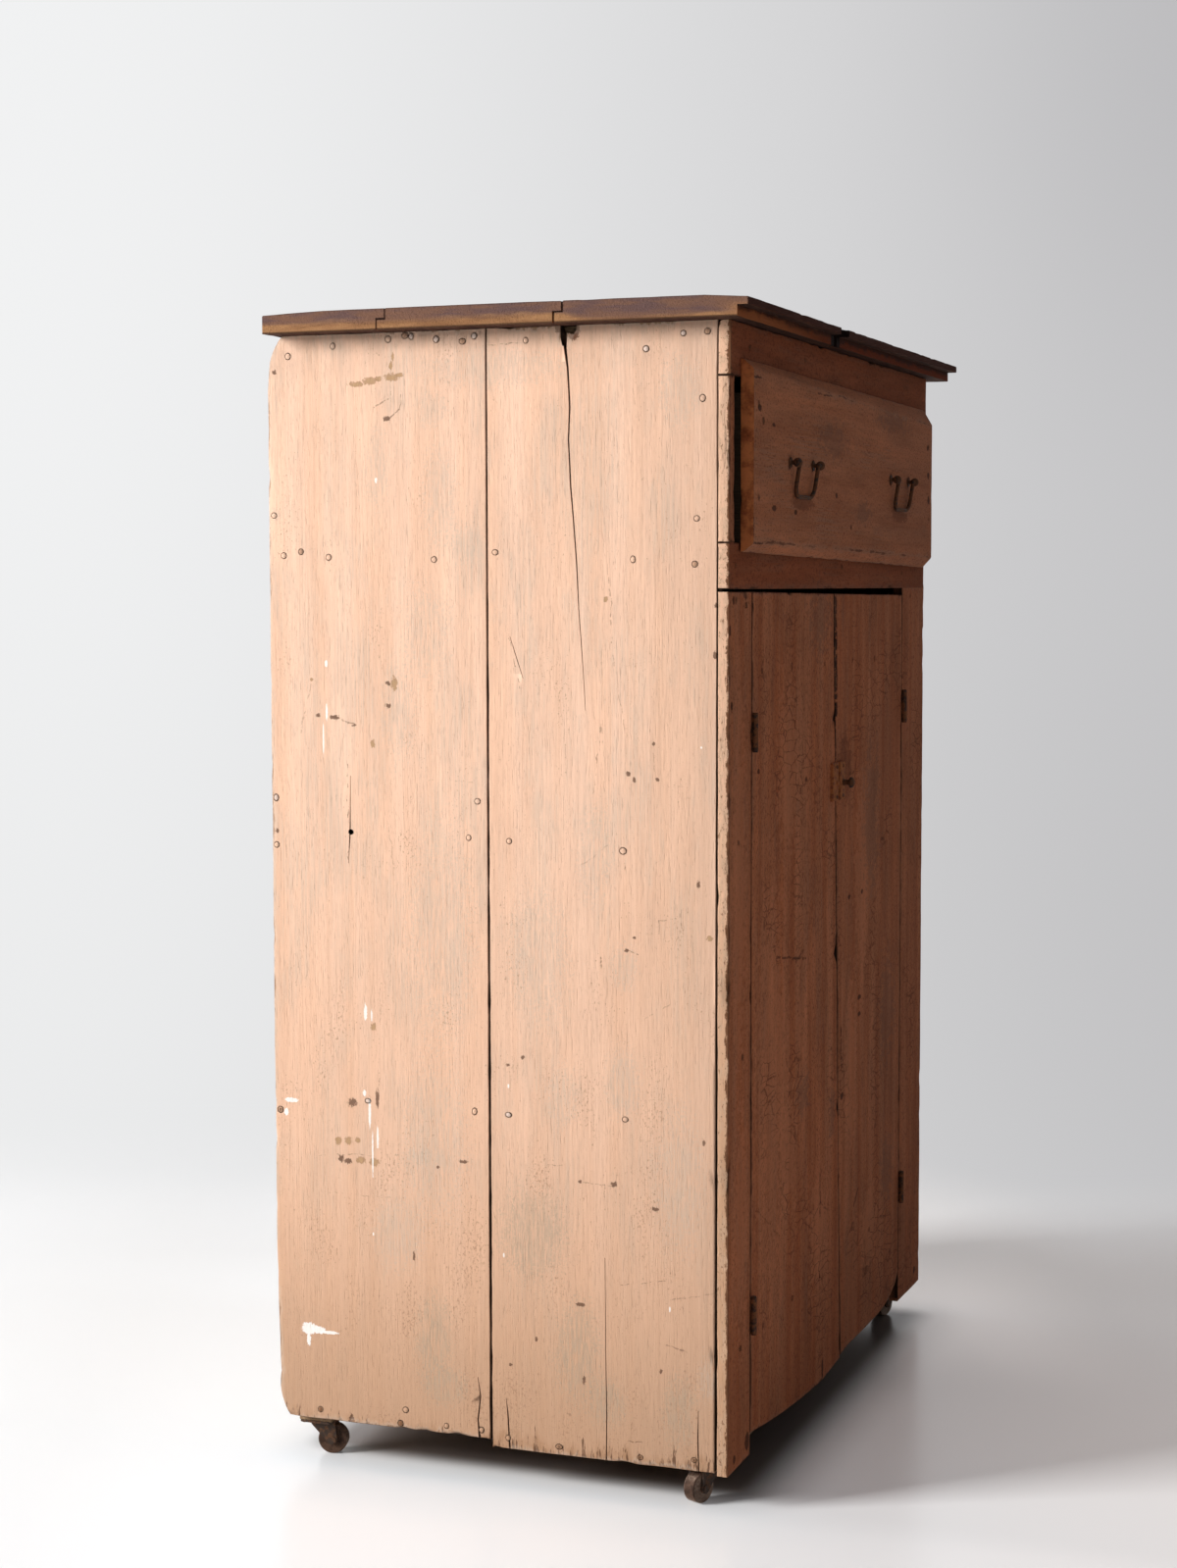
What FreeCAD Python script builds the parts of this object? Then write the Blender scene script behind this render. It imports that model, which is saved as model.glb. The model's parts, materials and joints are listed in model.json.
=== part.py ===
import FreeCAD, Part
import math
import os

# A painted country cupboard on four casters: one lipped drawer over a pair of plank doors.
# Millimetres, +Z up, the front faces -Y and the left side faces -X.
# Pieces are drawn in the case's own coordinates: x from the left side's outer face,
# y from the sides' front edge, z from the front side board's foot. The last step moves them
# so that the origin lies on the floor, under the middle of the whole cupboard.

Vector = FreeCAD.Vector

# Case boards
CASE_WIDTH = 817.5
SIDE_HEIGHT = 1158.0
SIDE_DEPTH = 495.0
SIDE_THICKNESS = 16.0
SIDE_FRONT_BOARD_WIDTH = 247.0
SIDE_BACK_BOARD_RISE = 8.0
SIDE_TAPER = 2.5
SIDE_TAPER_START = 760.0
TOP_CORNER_LEAN = 2.4
TOP_CORNER_LEAN_HEIGHT = 56.0
TOP_CORNER_WEAR_DEPTH = 17.0
TOP_CORNER_WEAR_HEIGHT = 27.0
BOTTOM_CORNER_WEAR_DEPTH = 11.0
BOTTOM_CORNER_WEAR_HEIGHT = 46.0
BACK_EDGE_LEAN = 3.0
BACK_EDGE_LEAN_HEIGHT = 190.0
BOARD_JOINT = 0.6
EASE = 1.0

# Broken notch in the left side's top edge
NOTCH_Y = 149.0
NOTCH_CHIP_WIDTH = 10.0
NOTCH_CHIP_DEPTH = 9.0
NOTCH_SLOT_WIDTH = 7.0
NOTCH_SLOT_DEPTH = 20.0

# Back boards, which the top stops flush with
BACK_THICKNESS = 12.0
BACK_INSET = 8.0
BACK_BOARD_COUNT = 4

# Bottom and shelves
SHELF_THICKNESS = 18.0
BOTTOM_RISE = 5.0
LOWER_SHELF_TOP = 363.0
UPPER_SHELF_TOP = 644.0
SHELF_SETBACK = 24.0

# Top of three shiplapped boards
TOP_THICKNESS = 22.0
TOP_FRONT_FALL = 3.0
TOP_FRONT_FALL_WIDTH = 45.0
TOP_BACK_FALL = 2.5
TOP_BACK_FALL_WIDTH = 70.0
TOP_LIP_THICKNESS = 11.0
TOP_LAP = 9.5
TOP_OVERHANG_FRONT = 39.5
TOP_OVERHANG_LEFT = 28.0
TOP_OVERHANG_RIGHT = 60.0
TOP_LIP_PROJECTION = 11.5
TOP_BOARD_WIDTH = 193.3
TOP_END_STAGGER = 1.2
TOP_NOTCH_X = 315.0
TOP_NOTCH_WIDTH = 33.0
TOP_NOTCH_DEPTH = 12.0
TOP_LOWER_NOTCH_WIDTH = 10.0
TOP_LOWER_NOTCH_DEPTH = 8.0
TOP_CLEAT = 20.0
TOP_CLEAT_END_GAP = 20.0

# Front frame
STILE_THICKNESS = 12.4
TOP_RAIL_THICKNESS = 14.0
TOP_RAIL_HEIGHT = 54.0
DRAWER_OPENING_HEIGHT = 164.0
MIDDLE_RAIL_HEIGHT = 45.5
DOOR_STILE_TOP_GAP = 3.0
RIGHT_STILE_TOP_GAP = 0.6
DOOR_STILE_DROP = 2.5
LEFT_STILE_WIDTH = 76.5
RIGHT_STILE_WIDTH = 111.5
EDGE_WAVE = 0.9

# Doors
DOOR_THICKNESS = 12.0
LEFT_DOOR_TOP_WIDTH = 310.5
LEFT_DOOR_BOTTOM_WIDTH = 354.0
DOOR_TOP_GAP = 3.2
DOOR_TOP_SAG = 2.6
LEFT_DOOR_HINGE_RISE = 20.0
LEFT_DOOR_LOW_DROP = 3.0
LEFT_DOOR_MEETING_RISE = 2.0
RIGHT_DOOR_MEETING_RISE = 5.0
RIGHT_DOOR_RISE = 7.0
DOOR_STOP_GAP = 0.4
MEETING_GAP_TOP = 3.6
MEETING_GAP_BOTTOM = 2.0
RIGHT_DOOR_CORNER_WIDTH = 100.0
RIGHT_DOOR_CORNER_HEIGHT = 30.0
BATTEN_THICKNESS = 18.0
BATTEN_HEIGHT = 60.0
BATTEN_END_GAP = 14.0
LOWER_BATTEN_FROM_FOOT = 92.0
UPPER_BATTEN_FROM_TOP = 50.0

# Butt hinges with three knuckles and a loose pin
HINGE_LENGTH = 38.0
HINGE_LEAF = 0.9
HINGE_PIN_RADIUS = 1.5
HINGE_KNUCKLE_RADIUS = 3.1
HINGE_PIN_HEAD_RADIUS = 2.7
HINGE_PIN_HEAD = 1.2
HINGE_RUNNING_CLEARANCE = 0.05
HINGE_KNUCKLE_CLEARANCE = 0.3
HINGE_SEAM_HALF = 1.2
UPPER_HINGE_FROM_TOP = 146.0
LOWER_HINGE_FROM_FOOT = 145.0

# Latch
LATCH_HEIGHT = 43.0
LATCH_FROM_TOP = 218.0
LATCH_EDGE_GAP = 1.5
KEEPER_WIDTH = 21.0
KEEPER_THICKNESS = 4.0
KEEPER_BOSS_RADIUS = 3.0
KEEPER_BOSS_HEIGHT = 1.4
LATCH_CASE_WIDTH = 21.0
LATCH_CASE_THICKNESS = 5.0
KNOB_FROM_CASE_EDGE = 11.0
KNOB_DROP = 2.0
KNOB_RADIUS = 6.2
KNOB_PROJECTION = 12.5
KNOB_HEAD = 5.0
KNOB_NECK_RADIUS = 3.0
SPINDLE_RADIUS = 2.2
SPINDLE_CLEARANCE = 0.06

# Drawer: a lipped front nailed to a plain box
DRAWER_FRONT_THICKNESS = 14.2
DRAWER_FRONT_SIDE_GAP = 12.0
DRAWER_FRONT_TOP_LAP = 18.0
DRAWER_FRONT_BOTTOM_LAP = 9.0
DRAWER_FRONT_SAG_TOP = 5.4
DRAWER_FRONT_SAG_BOTTOM = 11.5
DRAWER_BEVEL_LEFT_TOP = 10.0
DRAWER_BEVEL_RIGHT_TOP = 18.0
DRAWER_BEVEL_LEFT_BOTTOM = 9.0
DRAWER_BEVEL_RIGHT_BOTTOM = 12.0
DRAWER_BACK_LIP = 3.2
DRAWER_CLOSING_GAP = 0.3
DRAWER_BOX_INSET = 14.0
DRAWER_BOARD = 12.0
DRAWER_SIDE_HEIGHT = 148.0
DRAWER_BACK_CLEARANCE = 49.3
DRAWER_BOTTOM_THICKNESS = 6.4
DRAWER_BOTTOM_RAISE = 10.0
DRAWER_GROOVE_DEPTH = 4.0
DRAWER_GROOVE_PLAY = 0.3
DRAWER_RUN_GAP = 0.3
RUNNER_WIDTH = 32.0
RUNNER_HEIGHT = 22.0
GUIDE_HEIGHT = 14.0
GUIDE_PLAY = 1.0

# Bail pulls
PULL_SPACING = 86.0
LEFT_PULL_X = 156.3
RIGHT_PULL_X = 579.0
LEFT_PULL_BELOW_TOP = 79.5
RIGHT_PULL_BELOW_TOP = 82.0
PULL_STANDOFF = 8.0
PULL_BALL_RADIUS = 4.9
PULL_SHANK_RADIUS = 2.2
PULL_ROSE_RADIUS = 5.2
PULL_ROSE_THICKNESS = 1.0
BAIL_WIRE_RADIUS = 2.2
BAIL_HOLE_CLEARANCE = 0.08
BAIL_DROP = 35.0
BAIL_LEG_GAP = 0.4
BAIL_TOP_BEND = 3.0
BAIL_BOTTOM_BEND = 14.0
BAIL_REST_GAP = 0.3
BAIL_END_PAST_BALL = 0.6

# Casters
CASTER_HEIGHT = 39.0
CASTER_INSET_X = 34.0
CASTER_INSET_FRONT = 22.0
CASTER_INSET_BACK = 36.0
CASTER_PLATE = 38.0
CASTER_PLATE_THICKNESS = 2.5
CASTER_PLATE_ROUND = 4.0
CASTER_SCREW_SPACING = 29.0
CASTER_SCREW_RADIUS = 1.3
CASTER_SCREW_HEAD_RADIUS = 2.2
CASTER_SCREW_HEAD = 1.1
CASTER_SCREW_LENGTH = 6.0
KINGPIN_RADIUS = 3.5
KINGPIN_HEAD_RADIUS = 6.0
KINGPIN_HEAD = 2.0
KINGPIN_RECESS_RADIUS = 7.5
KINGPIN_CLEARANCE = 0.06
SWIVEL_GAP = 0.3
FORK_CROWN = 3.0
FORK_ARM = 2.5
FORK_SIDE_PLAY = 0.8
FORK_NOSE = 10.5
FORK_BOSS_RADIUS = 5.5
WHEEL_RADIUS = 16.0
WHEEL_WIDTH = 14.0
WHEEL_ROUND = 1.6
WHEEL_HUB_RADIUS = 5.0
WHEEL_HUB_PROUD = 0.5
CASTER_TRAIL = 12.0
AXLE_RADIUS = 2.5
AXLE_CLEARANCE = 0.05
AXLE_HEAD_RADIUS = 3.8
AXLE_HEAD = 1.0
SCREW_HOLE_CLEARANCE = 0.05

# The direction in which each caster trails, in degrees from +X
CASTER_TRAIL_ANGLE = {
    "front_left": 157.0,
    "back_left": -76.0,
    "front_right": 163.0,
    "back_right": -118.0,
}

# Places that follow from the sizes above
INNER_LEFT = SIDE_THICKNESS
INNER_RIGHT = CASE_WIDTH - SIDE_THICKNESS
BACK_FACE = SIDE_DEPTH - BACK_INSET
BACK_INNER_FACE = BACK_FACE - BACK_THICKNESS
TOP_RAIL_FOOT = SIDE_HEIGHT - TOP_RAIL_HEIGHT
MIDDLE_RAIL_TOP = TOP_RAIL_FOOT - DRAWER_OPENING_HEIGHT
MIDDLE_RAIL_FOOT = MIDDLE_RAIL_TOP - MIDDLE_RAIL_HEIGHT
DOOR_STILE_TOP = MIDDLE_RAIL_FOOT - DOOR_STILE_TOP_GAP
RIGHT_STILE_TOP = MIDDLE_RAIL_FOOT - RIGHT_STILE_TOP_GAP
DOOR_BACK = -DOOR_STOP_GAP
DOOR_FACE = DOOR_BACK - DOOR_THICKNESS
RIGHT_SEAM = CASE_WIDTH - RIGHT_STILE_WIDTH
HINGE_AXIS_Y = -STILE_THICKNESS - HINGE_KNUCKLE_RADIUS - 0.1
LATCH_Z = MIDDLE_RAIL_FOOT - LATCH_FROM_TOP
DRAWER_BACK_FACE = -TOP_RAIL_THICKNESS - DRAWER_CLOSING_GAP
DRAWER_FACE = DRAWER_BACK_FACE - DRAWER_FRONT_THICKNESS
DRAWER_FOOT = MIDDLE_RAIL_TOP + DRAWER_RUN_GAP
DRAWER_END = BACK_INNER_FACE - DRAWER_BACK_CLEARANCE
PULL_AXIS_Y = DRAWER_FACE - PULL_STANDOFF
AXLE_Z = WHEEL_RADIUS - CASTER_HEIGHT
PLATE_FOOT = -CASTER_PLATE_THICKNESS
FORK_TOP = PLATE_FOOT - SWIVEL_GAP

CASTER_PLACE = {
    "front_left": (CASTER_INSET_X, CASTER_INSET_FRONT),
    "back_left": (CASTER_INSET_X, SIDE_DEPTH - CASTER_INSET_BACK),
    "front_right": (CASE_WIDTH - CASTER_INSET_X, CASTER_INSET_FRONT),
    "back_right": (CASE_WIDTH - CASTER_INSET_X, SIDE_DEPTH - CASTER_INSET_BACK),
}

ORIGIN = Vector(
    (CASE_WIDTH + TOP_OVERHANG_RIGHT - TOP_OVERHANG_LEFT) / 2,
    (SIDE_DEPTH - TOP_OVERHANG_FRONT) / 2,
    -CASTER_HEIGHT,
)


# Small building blocks

def block(x0, x1, y0, y1, z0, z1):
    """A box between two opposite corners."""
    return Part.makeBox(x1 - x0, y1 - y0, z1 - z0, Vector(x0, y0, z0))


def rod(radius, start, direction, length):
    """A cylinder from a point along a direction."""
    return Part.makeCylinder(radius, length, start, direction)


def outline(path, place):
    """A closed face through (u, v) points; a four-number entry is an arc: its middle, then its end."""
    edges = []
    here = path[0]
    for step in path[1:] + [path[0][:2]]:
        start = place(here[-2], here[-1])
        end = place(step[-2], step[-1])
        if len(step) == 4:
            edges.append(Part.Arc(start, place(step[0], step[1]), end).toShape())
        else:
            edges.append(Part.makeLine(start, end))
        here = step
    return Part.Face(Part.Wire(edges))


def side_slab(path, x0, x1):
    """A (y, z) outline made solid from x0 to x1."""
    return outline(path, lambda y, z: Vector(x0, y, z)).extrude(Vector(x1 - x0, 0, 0))


def front_slab(path, y0, y1):
    """An (x, z) outline made solid from y0 to y1."""
    return outline(path, lambda x, z: Vector(x, y0, z)).extrude(Vector(0, y1 - y0, 0))


def flat_slab(path, z0, z1):
    """An (x, y) outline made solid from z0 to z1."""
    return outline(path, lambda x, y: Vector(x, y, z0)).extrude(Vector(0, 0, z1 - z0))


def eased(solid, size, chosen):
    """Chamfers the straight edges whose middle point passes the test."""
    edges = [e for e in solid.Edges if chosen(e.CenterOfMass)]
    return solid.makeChamfer(size, edges)


def at(value, target):
    return abs(value - target) < 0.01


def group(solids):
    return Part.makeCompound(solids)


# Case

def side_front_board(x0, x1, outer, notched):
    joint = SIDE_FRONT_BOARD_WIDTH - BOARD_JOINT / 2
    path = [(0, SIDE_HEIGHT), (0, SIDE_TAPER_START), (SIDE_TAPER, 0), (joint, 0), (joint, SIDE_HEIGHT)]
    board = eased(side_slab(path, x0, x1), EASE, lambda p: at(p.x, outer) and p.z < SIDE_HEIGHT - EASE)
    if notched:
        slot = NOTCH_Y + NOTCH_CHIP_WIDTH
        foot = SIDE_HEIGHT - NOTCH_SLOT_DEPTH
        broken = [
            (NOTCH_Y, SIDE_HEIGHT + 5),
            (NOTCH_Y, SIDE_HEIGHT - 0.5 * NOTCH_CHIP_DEPTH),
            (NOTCH_Y + 0.3 * NOTCH_CHIP_WIDTH, SIDE_HEIGHT - NOTCH_CHIP_DEPTH),
            (slot, SIDE_HEIGHT - 0.8 * NOTCH_CHIP_DEPTH),
            (slot + 0.1 * NOTCH_SLOT_WIDTH, foot),
            (slot + 0.7 * NOTCH_SLOT_WIDTH, foot),
            (slot + NOTCH_SLOT_WIDTH, foot + 0.4 * NOTCH_SLOT_DEPTH),
            (slot + NOTCH_SLOT_WIDTH, SIDE_HEIGHT + 5),
        ]
        board = board.cut(side_slab(broken, x0 - 1, x1 + 1))
    return board


def side_back_board(x0, x1, outer):
    joint = SIDE_FRONT_BOARD_WIDTH + BOARD_JOINT / 2
    back_low = SIDE_DEPTH - BACK_EDGE_LEAN
    foot = SIDE_BACK_BOARD_RISE
    path = [
        (joint, SIDE_HEIGHT),
        (joint, foot),
        (back_low - BOTTOM_CORNER_WEAR_DEPTH, foot),
        (back_low - 0.3 * BOTTOM_CORNER_WEAR_DEPTH, foot + 0.3 * BOTTOM_CORNER_WEAR_HEIGHT,
         back_low, foot + BOTTOM_CORNER_WEAR_HEIGHT),
        (SIDE_DEPTH, BACK_EDGE_LEAN_HEIGHT),
        (SIDE_DEPTH, SIDE_HEIGHT - TOP_CORNER_LEAN_HEIGHT),
        (SIDE_DEPTH - TOP_CORNER_LEAN, SIDE_HEIGHT - TOP_CORNER_WEAR_HEIGHT),
        (SIDE_DEPTH - TOP_CORNER_LEAN - 0.33 * TOP_CORNER_WEAR_DEPTH, SIDE_HEIGHT - 0.45 * TOP_CORNER_WEAR_HEIGHT,
         SIDE_DEPTH - TOP_CORNER_WEAR_DEPTH, SIDE_HEIGHT),
    ]
    return eased(side_slab(path, x0, x1), EASE, lambda p: at(p.x, outer) and (at(p.y, joint) or at(p.z, foot)))


def back_board(index):
    pitch = (INNER_RIGHT - INNER_LEFT) / BACK_BOARD_COUNT
    x0 = INNER_LEFT + index * pitch + BOARD_JOINT / 2
    board = block(x0, x0 + pitch - BOARD_JOINT, BACK_INNER_FACE, BACK_FACE, BOTTOM_RISE, SIDE_HEIGHT)
    return eased(board, EASE, lambda p: at(p.y, BACK_FACE))


def shelf(top, front):
    board = block(INNER_LEFT, INNER_RIGHT, front, BACK_INNER_FACE, top - SHELF_THICKNESS, top)
    return eased(board, EASE, lambda p: at(p.y, front) and not at(p.x, INNER_LEFT) and not at(p.x, INNER_RIGHT))


def top_cleat(x0):
    ends = TOP_CLEAT_END_GAP
    return block(x0, x0 + TOP_CLEAT, ends, BACK_INNER_FACE - ends, SIDE_HEIGHT - TOP_CLEAT, SIDE_HEIGHT)


# Top

def top_board(name):
    """A shiplapped board; the front one falls towards its lip, the back one towards its back edge."""
    step = SIDE_HEIGHT + TOP_THICKNESS - TOP_LIP_THICKNESS
    top = SIDE_HEIGHT + TOP_THICKNESS
    left = -TOP_OVERHANG_LEFT
    right = CASE_WIDTH + TOP_OVERHANG_RIGHT
    first_joint = TOP_BOARD_WIDTH - TOP_OVERHANG_FRONT
    half = BOARD_JOINT / 2
    fronts = {"front": -TOP_OVERHANG_FRONT, "middle": first_joint + half,
              "back": first_joint + TOP_BOARD_WIDTH + half}
    backs = {"front": first_joint - half, "middle": first_joint + TOP_BOARD_WIDTH - half,
             "back": BACK_FACE}
    front = fronts[name]
    back = backs[name]
    low_front = front + (TOP_LIP_PROJECTION if name == "front" else TOP_LAP)
    low_back = back + (0 if name == "back" else TOP_LAP)
    path = [(low_front, SIDE_HEIGHT), (low_back, SIDE_HEIGHT)]
    if name != "back":
        path += [(low_back, step), (back, step)]
    if name == "back":
        path += [(back, top - TOP_BACK_FALL), (back - TOP_BACK_FALL_WIDTH, top), (front, top)]
    elif name == "front":
        path += [(back, top), (front + TOP_FRONT_FALL_WIDTH, top), (front, top - TOP_FRONT_FALL)]
    else:
        path += [(back, top), (front, top)]
    path += [(front, step), (low_front, step)]
    inset = 0 if name == "middle" else TOP_END_STAGGER
    left += inset
    right -= inset
    board = side_slab(path, left, right)
    lowest = top - TOP_FRONT_FALL - 0.01
    board = eased(board, EASE, lambda p: (p.z > lowest and (at(p.x, left) or at(p.x, right)))
                  or (p.z > lowest and (at(p.y, front) or at(p.y, back)))
                  or (at(p.y, front) and name == "front"))
    if name == "front":
        board = board.cut(top_notch(step, top))
    return board


def top_notch(step, top):
    lip = -TOP_OVERHANG_FRONT
    deep = lip + TOP_NOTCH_DEPTH
    x0 = TOP_NOTCH_X
    x1 = x0 + TOP_NOTCH_WIDTH
    middle = (x0 + x1) / 2
    upper = [(x0, lip - 1), (x0 + 3, lip + 6), (x0 + 11, deep), (x1 - 8, deep), (x1 - 2, lip + 5), (x1, lip - 1)]
    low_front = lip + TOP_LIP_PROJECTION
    half = TOP_LOWER_NOTCH_WIDTH / 2
    low_deep = low_front + TOP_LOWER_NOTCH_DEPTH
    lower = [(middle - half, low_front - 1), (middle - half + 2, low_deep), (middle + half - 2, low_deep),
             (middle + half, low_front - 1)]
    return flat_slab(upper, step - 1, top + 1).fuse(flat_slab(lower, SIDE_HEIGHT - 1, top + 1))


# Front frame

def rail(foot, head, thickness):
    board = block(0, CASE_WIDTH, -thickness, 0, foot, head)
    return eased(board, EASE, lambda p: at(p.y, -thickness))


def drawer_stile(x0):
    board = block(x0, x0 + SIDE_THICKNESS, -STILE_THICKNESS, 0, MIDDLE_RAIL_TOP, TOP_RAIL_FOOT)
    return eased(board, EASE, lambda p: at(p.y, -STILE_THICKNESS))


def door_stile(outer, inner, top):
    """A long board whose outer edge is worn a little wavy."""
    foot = -DOOR_STILE_DROP
    height = top - foot
    waves = [(0.0, 0.0), (0.13, -0.8), (0.3, 0.6), (0.45, -0.7), (0.62, 1.0), (0.8, -0.6), (1.0, 0.0)]
    edge = [(outer + EDGE_WAVE * sway, foot + share * height) for share, sway in waves]
    path = edge + [(inner, top), (inner, foot)]
    board = front_slab(path, -STILE_THICKNESS, 0)
    return eased(board, EASE, lambda p: at(p.y, -STILE_THICKNESS))


# Doors

def meeting_edge(z):
    """The middle of the slanting gap between the doors at a height."""
    top = LEFT_STILE_WIDTH + LEFT_DOOR_TOP_WIDTH + MEETING_GAP_TOP / 2
    bottom = LEFT_STILE_WIDTH + LEFT_DOOR_BOTTOM_WIDTH
    share = (DOOR_STILE_TOP - z) / DOOR_STILE_TOP
    return top + (bottom - top) * share


def meeting_gap(z):
    share = max(0.0, min(1.0, (z - 0.6 * DOOR_STILE_TOP) / (0.4 * DOOR_STILE_TOP)))
    return MEETING_GAP_BOTTOM + (MEETING_GAP_TOP - MEETING_GAP_BOTTOM) * share


DOOR_EDGE_HEIGHTS = (0.0, 0.45, 0.7, 0.84)


def door_left():
    hinge = LEFT_STILE_WIDTH + HINGE_SEAM_HALF
    top = MIDDLE_RAIL_FOOT - DOOR_TOP_GAP
    far_top = top - DOOR_TOP_SAG
    low = -LEFT_DOOR_LOW_DROP
    hollow = low + 0.37 * (LEFT_DOOR_HINGE_RISE - low)
    path = [(hinge + 0.78 * LEFT_DOOR_BOTTOM_WIDTH, low)]
    path.append((hinge + 0.36 * LEFT_DOOR_BOTTOM_WIDTH, hollow, hinge, LEFT_DOOR_HINGE_RISE))
    path.append((hinge, top))
    path.append((meeting_edge(far_top) - meeting_gap(far_top) / 2, far_top))
    for share in reversed(DOOR_EDGE_HEIGHTS):
        z = max(LEFT_DOOR_MEETING_RISE, share * top)
        path.append((meeting_edge(z) - meeting_gap(z) / 2, z))
    board = front_slab(path, DOOR_FACE, DOOR_BACK)
    return eased(board, EASE, lambda p: at(p.y, DOOR_FACE))


def door_right():
    hinge = RIGHT_SEAM - HINGE_SEAM_HALF
    top = MIDDLE_RAIL_FOOT - DOOR_TOP_GAP - DOOR_TOP_SAG
    foot = RIGHT_DOOR_RISE
    near_top = top - DOOR_TOP_SAG
    wide = RIGHT_DOOR_CORNER_WIDTH
    high = RIGHT_DOOR_CORNER_HEIGHT
    path = [(hinge, near_top), (hinge, foot + high), (hinge - 0.12 * wide, foot + 0.6 * high)]
    path += [(hinge - 0.35 * wide, foot + 0.3 * high), (hinge - 0.65 * wide, foot + 0.1 * high), (hinge - wide, foot)]
    path.append((meeting_edge(foot) + 0.1 * LEFT_DOOR_BOTTOM_WIDTH, foot))
    for share in DOOR_EDGE_HEIGHTS:
        z = max(RIGHT_DOOR_MEETING_RISE, share * top)
        path.append((meeting_edge(z) + meeting_gap(z) / 2, z))
    path.append((meeting_edge(top) + meeting_gap(top) / 2, top))
    board = front_slab(path, DOOR_FACE, DOOR_BACK)
    return eased(board, EASE, lambda p: at(p.y, DOOR_FACE))


def battens(hinge_end, toward):
    """Two cross battens on a door's back; toward is +1 for the left door, -1 for the right."""
    solids = []
    top = DOOR_STILE_TOP - UPPER_BATTEN_FROM_TOP
    for foot in (LOWER_BATTEN_FROM_FOOT, top - BATTEN_HEIGHT):
        head = foot + BATTEN_HEIGHT
        reach = meeting_edge(head if toward > 0 else foot) - toward * (MEETING_GAP_TOP + BATTEN_END_GAP)
        start = hinge_end + toward * BATTEN_END_GAP
        solid = block(min(start, reach), max(start, reach), DOOR_BACK, DOOR_BACK + BATTEN_THICKNESS, foot, head)
        solids.append(eased(solid, EASE, lambda p: at(p.y, DOOR_BACK + BATTEN_THICKNESS)))
    return group(solids)


# Hinges

HINGE_HEIGHTS = (LOWER_HINGE_FROM_FOOT, MIDDLE_RAIL_FOOT - UPPER_HINGE_FROM_TOP)
KNUCKLE = HINGE_LENGTH / 3


def hinge_leaf(axis_x, foot, toward, knuckles):
    """One leaf with its knuckles; toward is +1 when the leaf lies on the +X side of the axis."""
    near = axis_x + toward * (HINGE_SEAM_HALF - HINGE_LEAF)
    far = axis_x + toward * HINGE_SEAM_HALF
    x0 = min(near, far)
    x1 = max(near, far)
    clear = HINGE_KNUCKLE_RADIUS + HINGE_KNUCKLE_CLEARANCE
    leaf = block(x0, x1, HINGE_AXIS_Y + clear, -EASE, foot, foot + HINGE_LENGTH)
    axis = Vector(axis_x, HINGE_AXIS_Y, foot)
    for index in knuckles:
        z0 = foot + index * KNUCKLE + (HINGE_KNUCKLE_CLEARANCE if index > 0 else 0)
        z1 = foot + (index + 1) * KNUCKLE
        leaf = leaf.fuse(rod(HINGE_KNUCKLE_RADIUS, Vector(axis_x, HINGE_AXIS_Y, z0), Vector(0, 0, 1), z1 - z0))
        leaf = leaf.fuse(block(x0, x1, HINGE_AXIS_Y, HINGE_AXIS_Y + clear, z0, z1))
    bore = rod(HINGE_PIN_RADIUS + HINGE_RUNNING_CLEARANCE, axis - Vector(0, 0, 1), Vector(0, 0, 1), HINGE_LENGTH + 2)
    return leaf.cut(bore).removeSplitter()


def hinge_leaves(axes, toward, knuckles):
    """The leaves of one side, at both heights of each axis in the list."""
    return group([hinge_leaf(x, z - HINGE_LENGTH / 2, way, knuckles)
                  for x, way in zip(axes, toward) for z in HINGE_HEIGHTS])


def hinge_pin(axis_x, middle):
    up = Vector(0, 0, 1)
    foot = middle - HINGE_LENGTH / 2
    pin = rod(HINGE_PIN_RADIUS, Vector(axis_x, HINGE_AXIS_Y, foot - HINGE_PIN_HEAD), up,
              HINGE_LENGTH + 2 * HINGE_PIN_HEAD)
    for z in (foot - HINGE_PIN_HEAD, foot + HINGE_LENGTH):
        pin = pin.fuse(rod(HINGE_PIN_HEAD_RADIUS, Vector(axis_x, HINGE_AXIS_Y, z), up, HINGE_PIN_HEAD))
    return pin.removeSplitter()


# Latch

KEEPER_EDGE = meeting_edge(LATCH_Z) - meeting_gap(LATCH_Z) / 2 - LATCH_EDGE_GAP
LATCH_CASE_EDGE = meeting_edge(LATCH_Z) + meeting_gap(LATCH_Z) / 2 + LATCH_EDGE_GAP
KNOB_X = LATCH_CASE_EDGE + KNOB_FROM_CASE_EDGE
KNOB_Z = LATCH_Z - KNOB_DROP
LATCH_FACE = DOOR_FACE - LATCH_CASE_THICKNESS


def latch_plate(x0, x1, thickness):
    front = DOOR_FACE - thickness
    half = LATCH_HEIGHT / 2
    plate = block(x0, x1, front, DOOR_FACE, LATCH_Z - half, LATCH_Z + half)
    return eased(plate, EASE, lambda p: at(p.y, front))


def latch_keeper():
    plate = latch_plate(KEEPER_EDGE - KEEPER_WIDTH, KEEPER_EDGE, KEEPER_THICKNESS)
    front = DOOR_FACE - KEEPER_THICKNESS
    middle = Vector(KEEPER_EDGE - KEEPER_BOSS_RADIUS - EASE - 1, front + 1, KNOB_Z)
    boss = rod(KEEPER_BOSS_RADIUS, middle, Vector(0, -1, 0), 1 + KEEPER_BOSS_HEIGHT)
    return plate.fuse(boss).removeSplitter()


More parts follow.
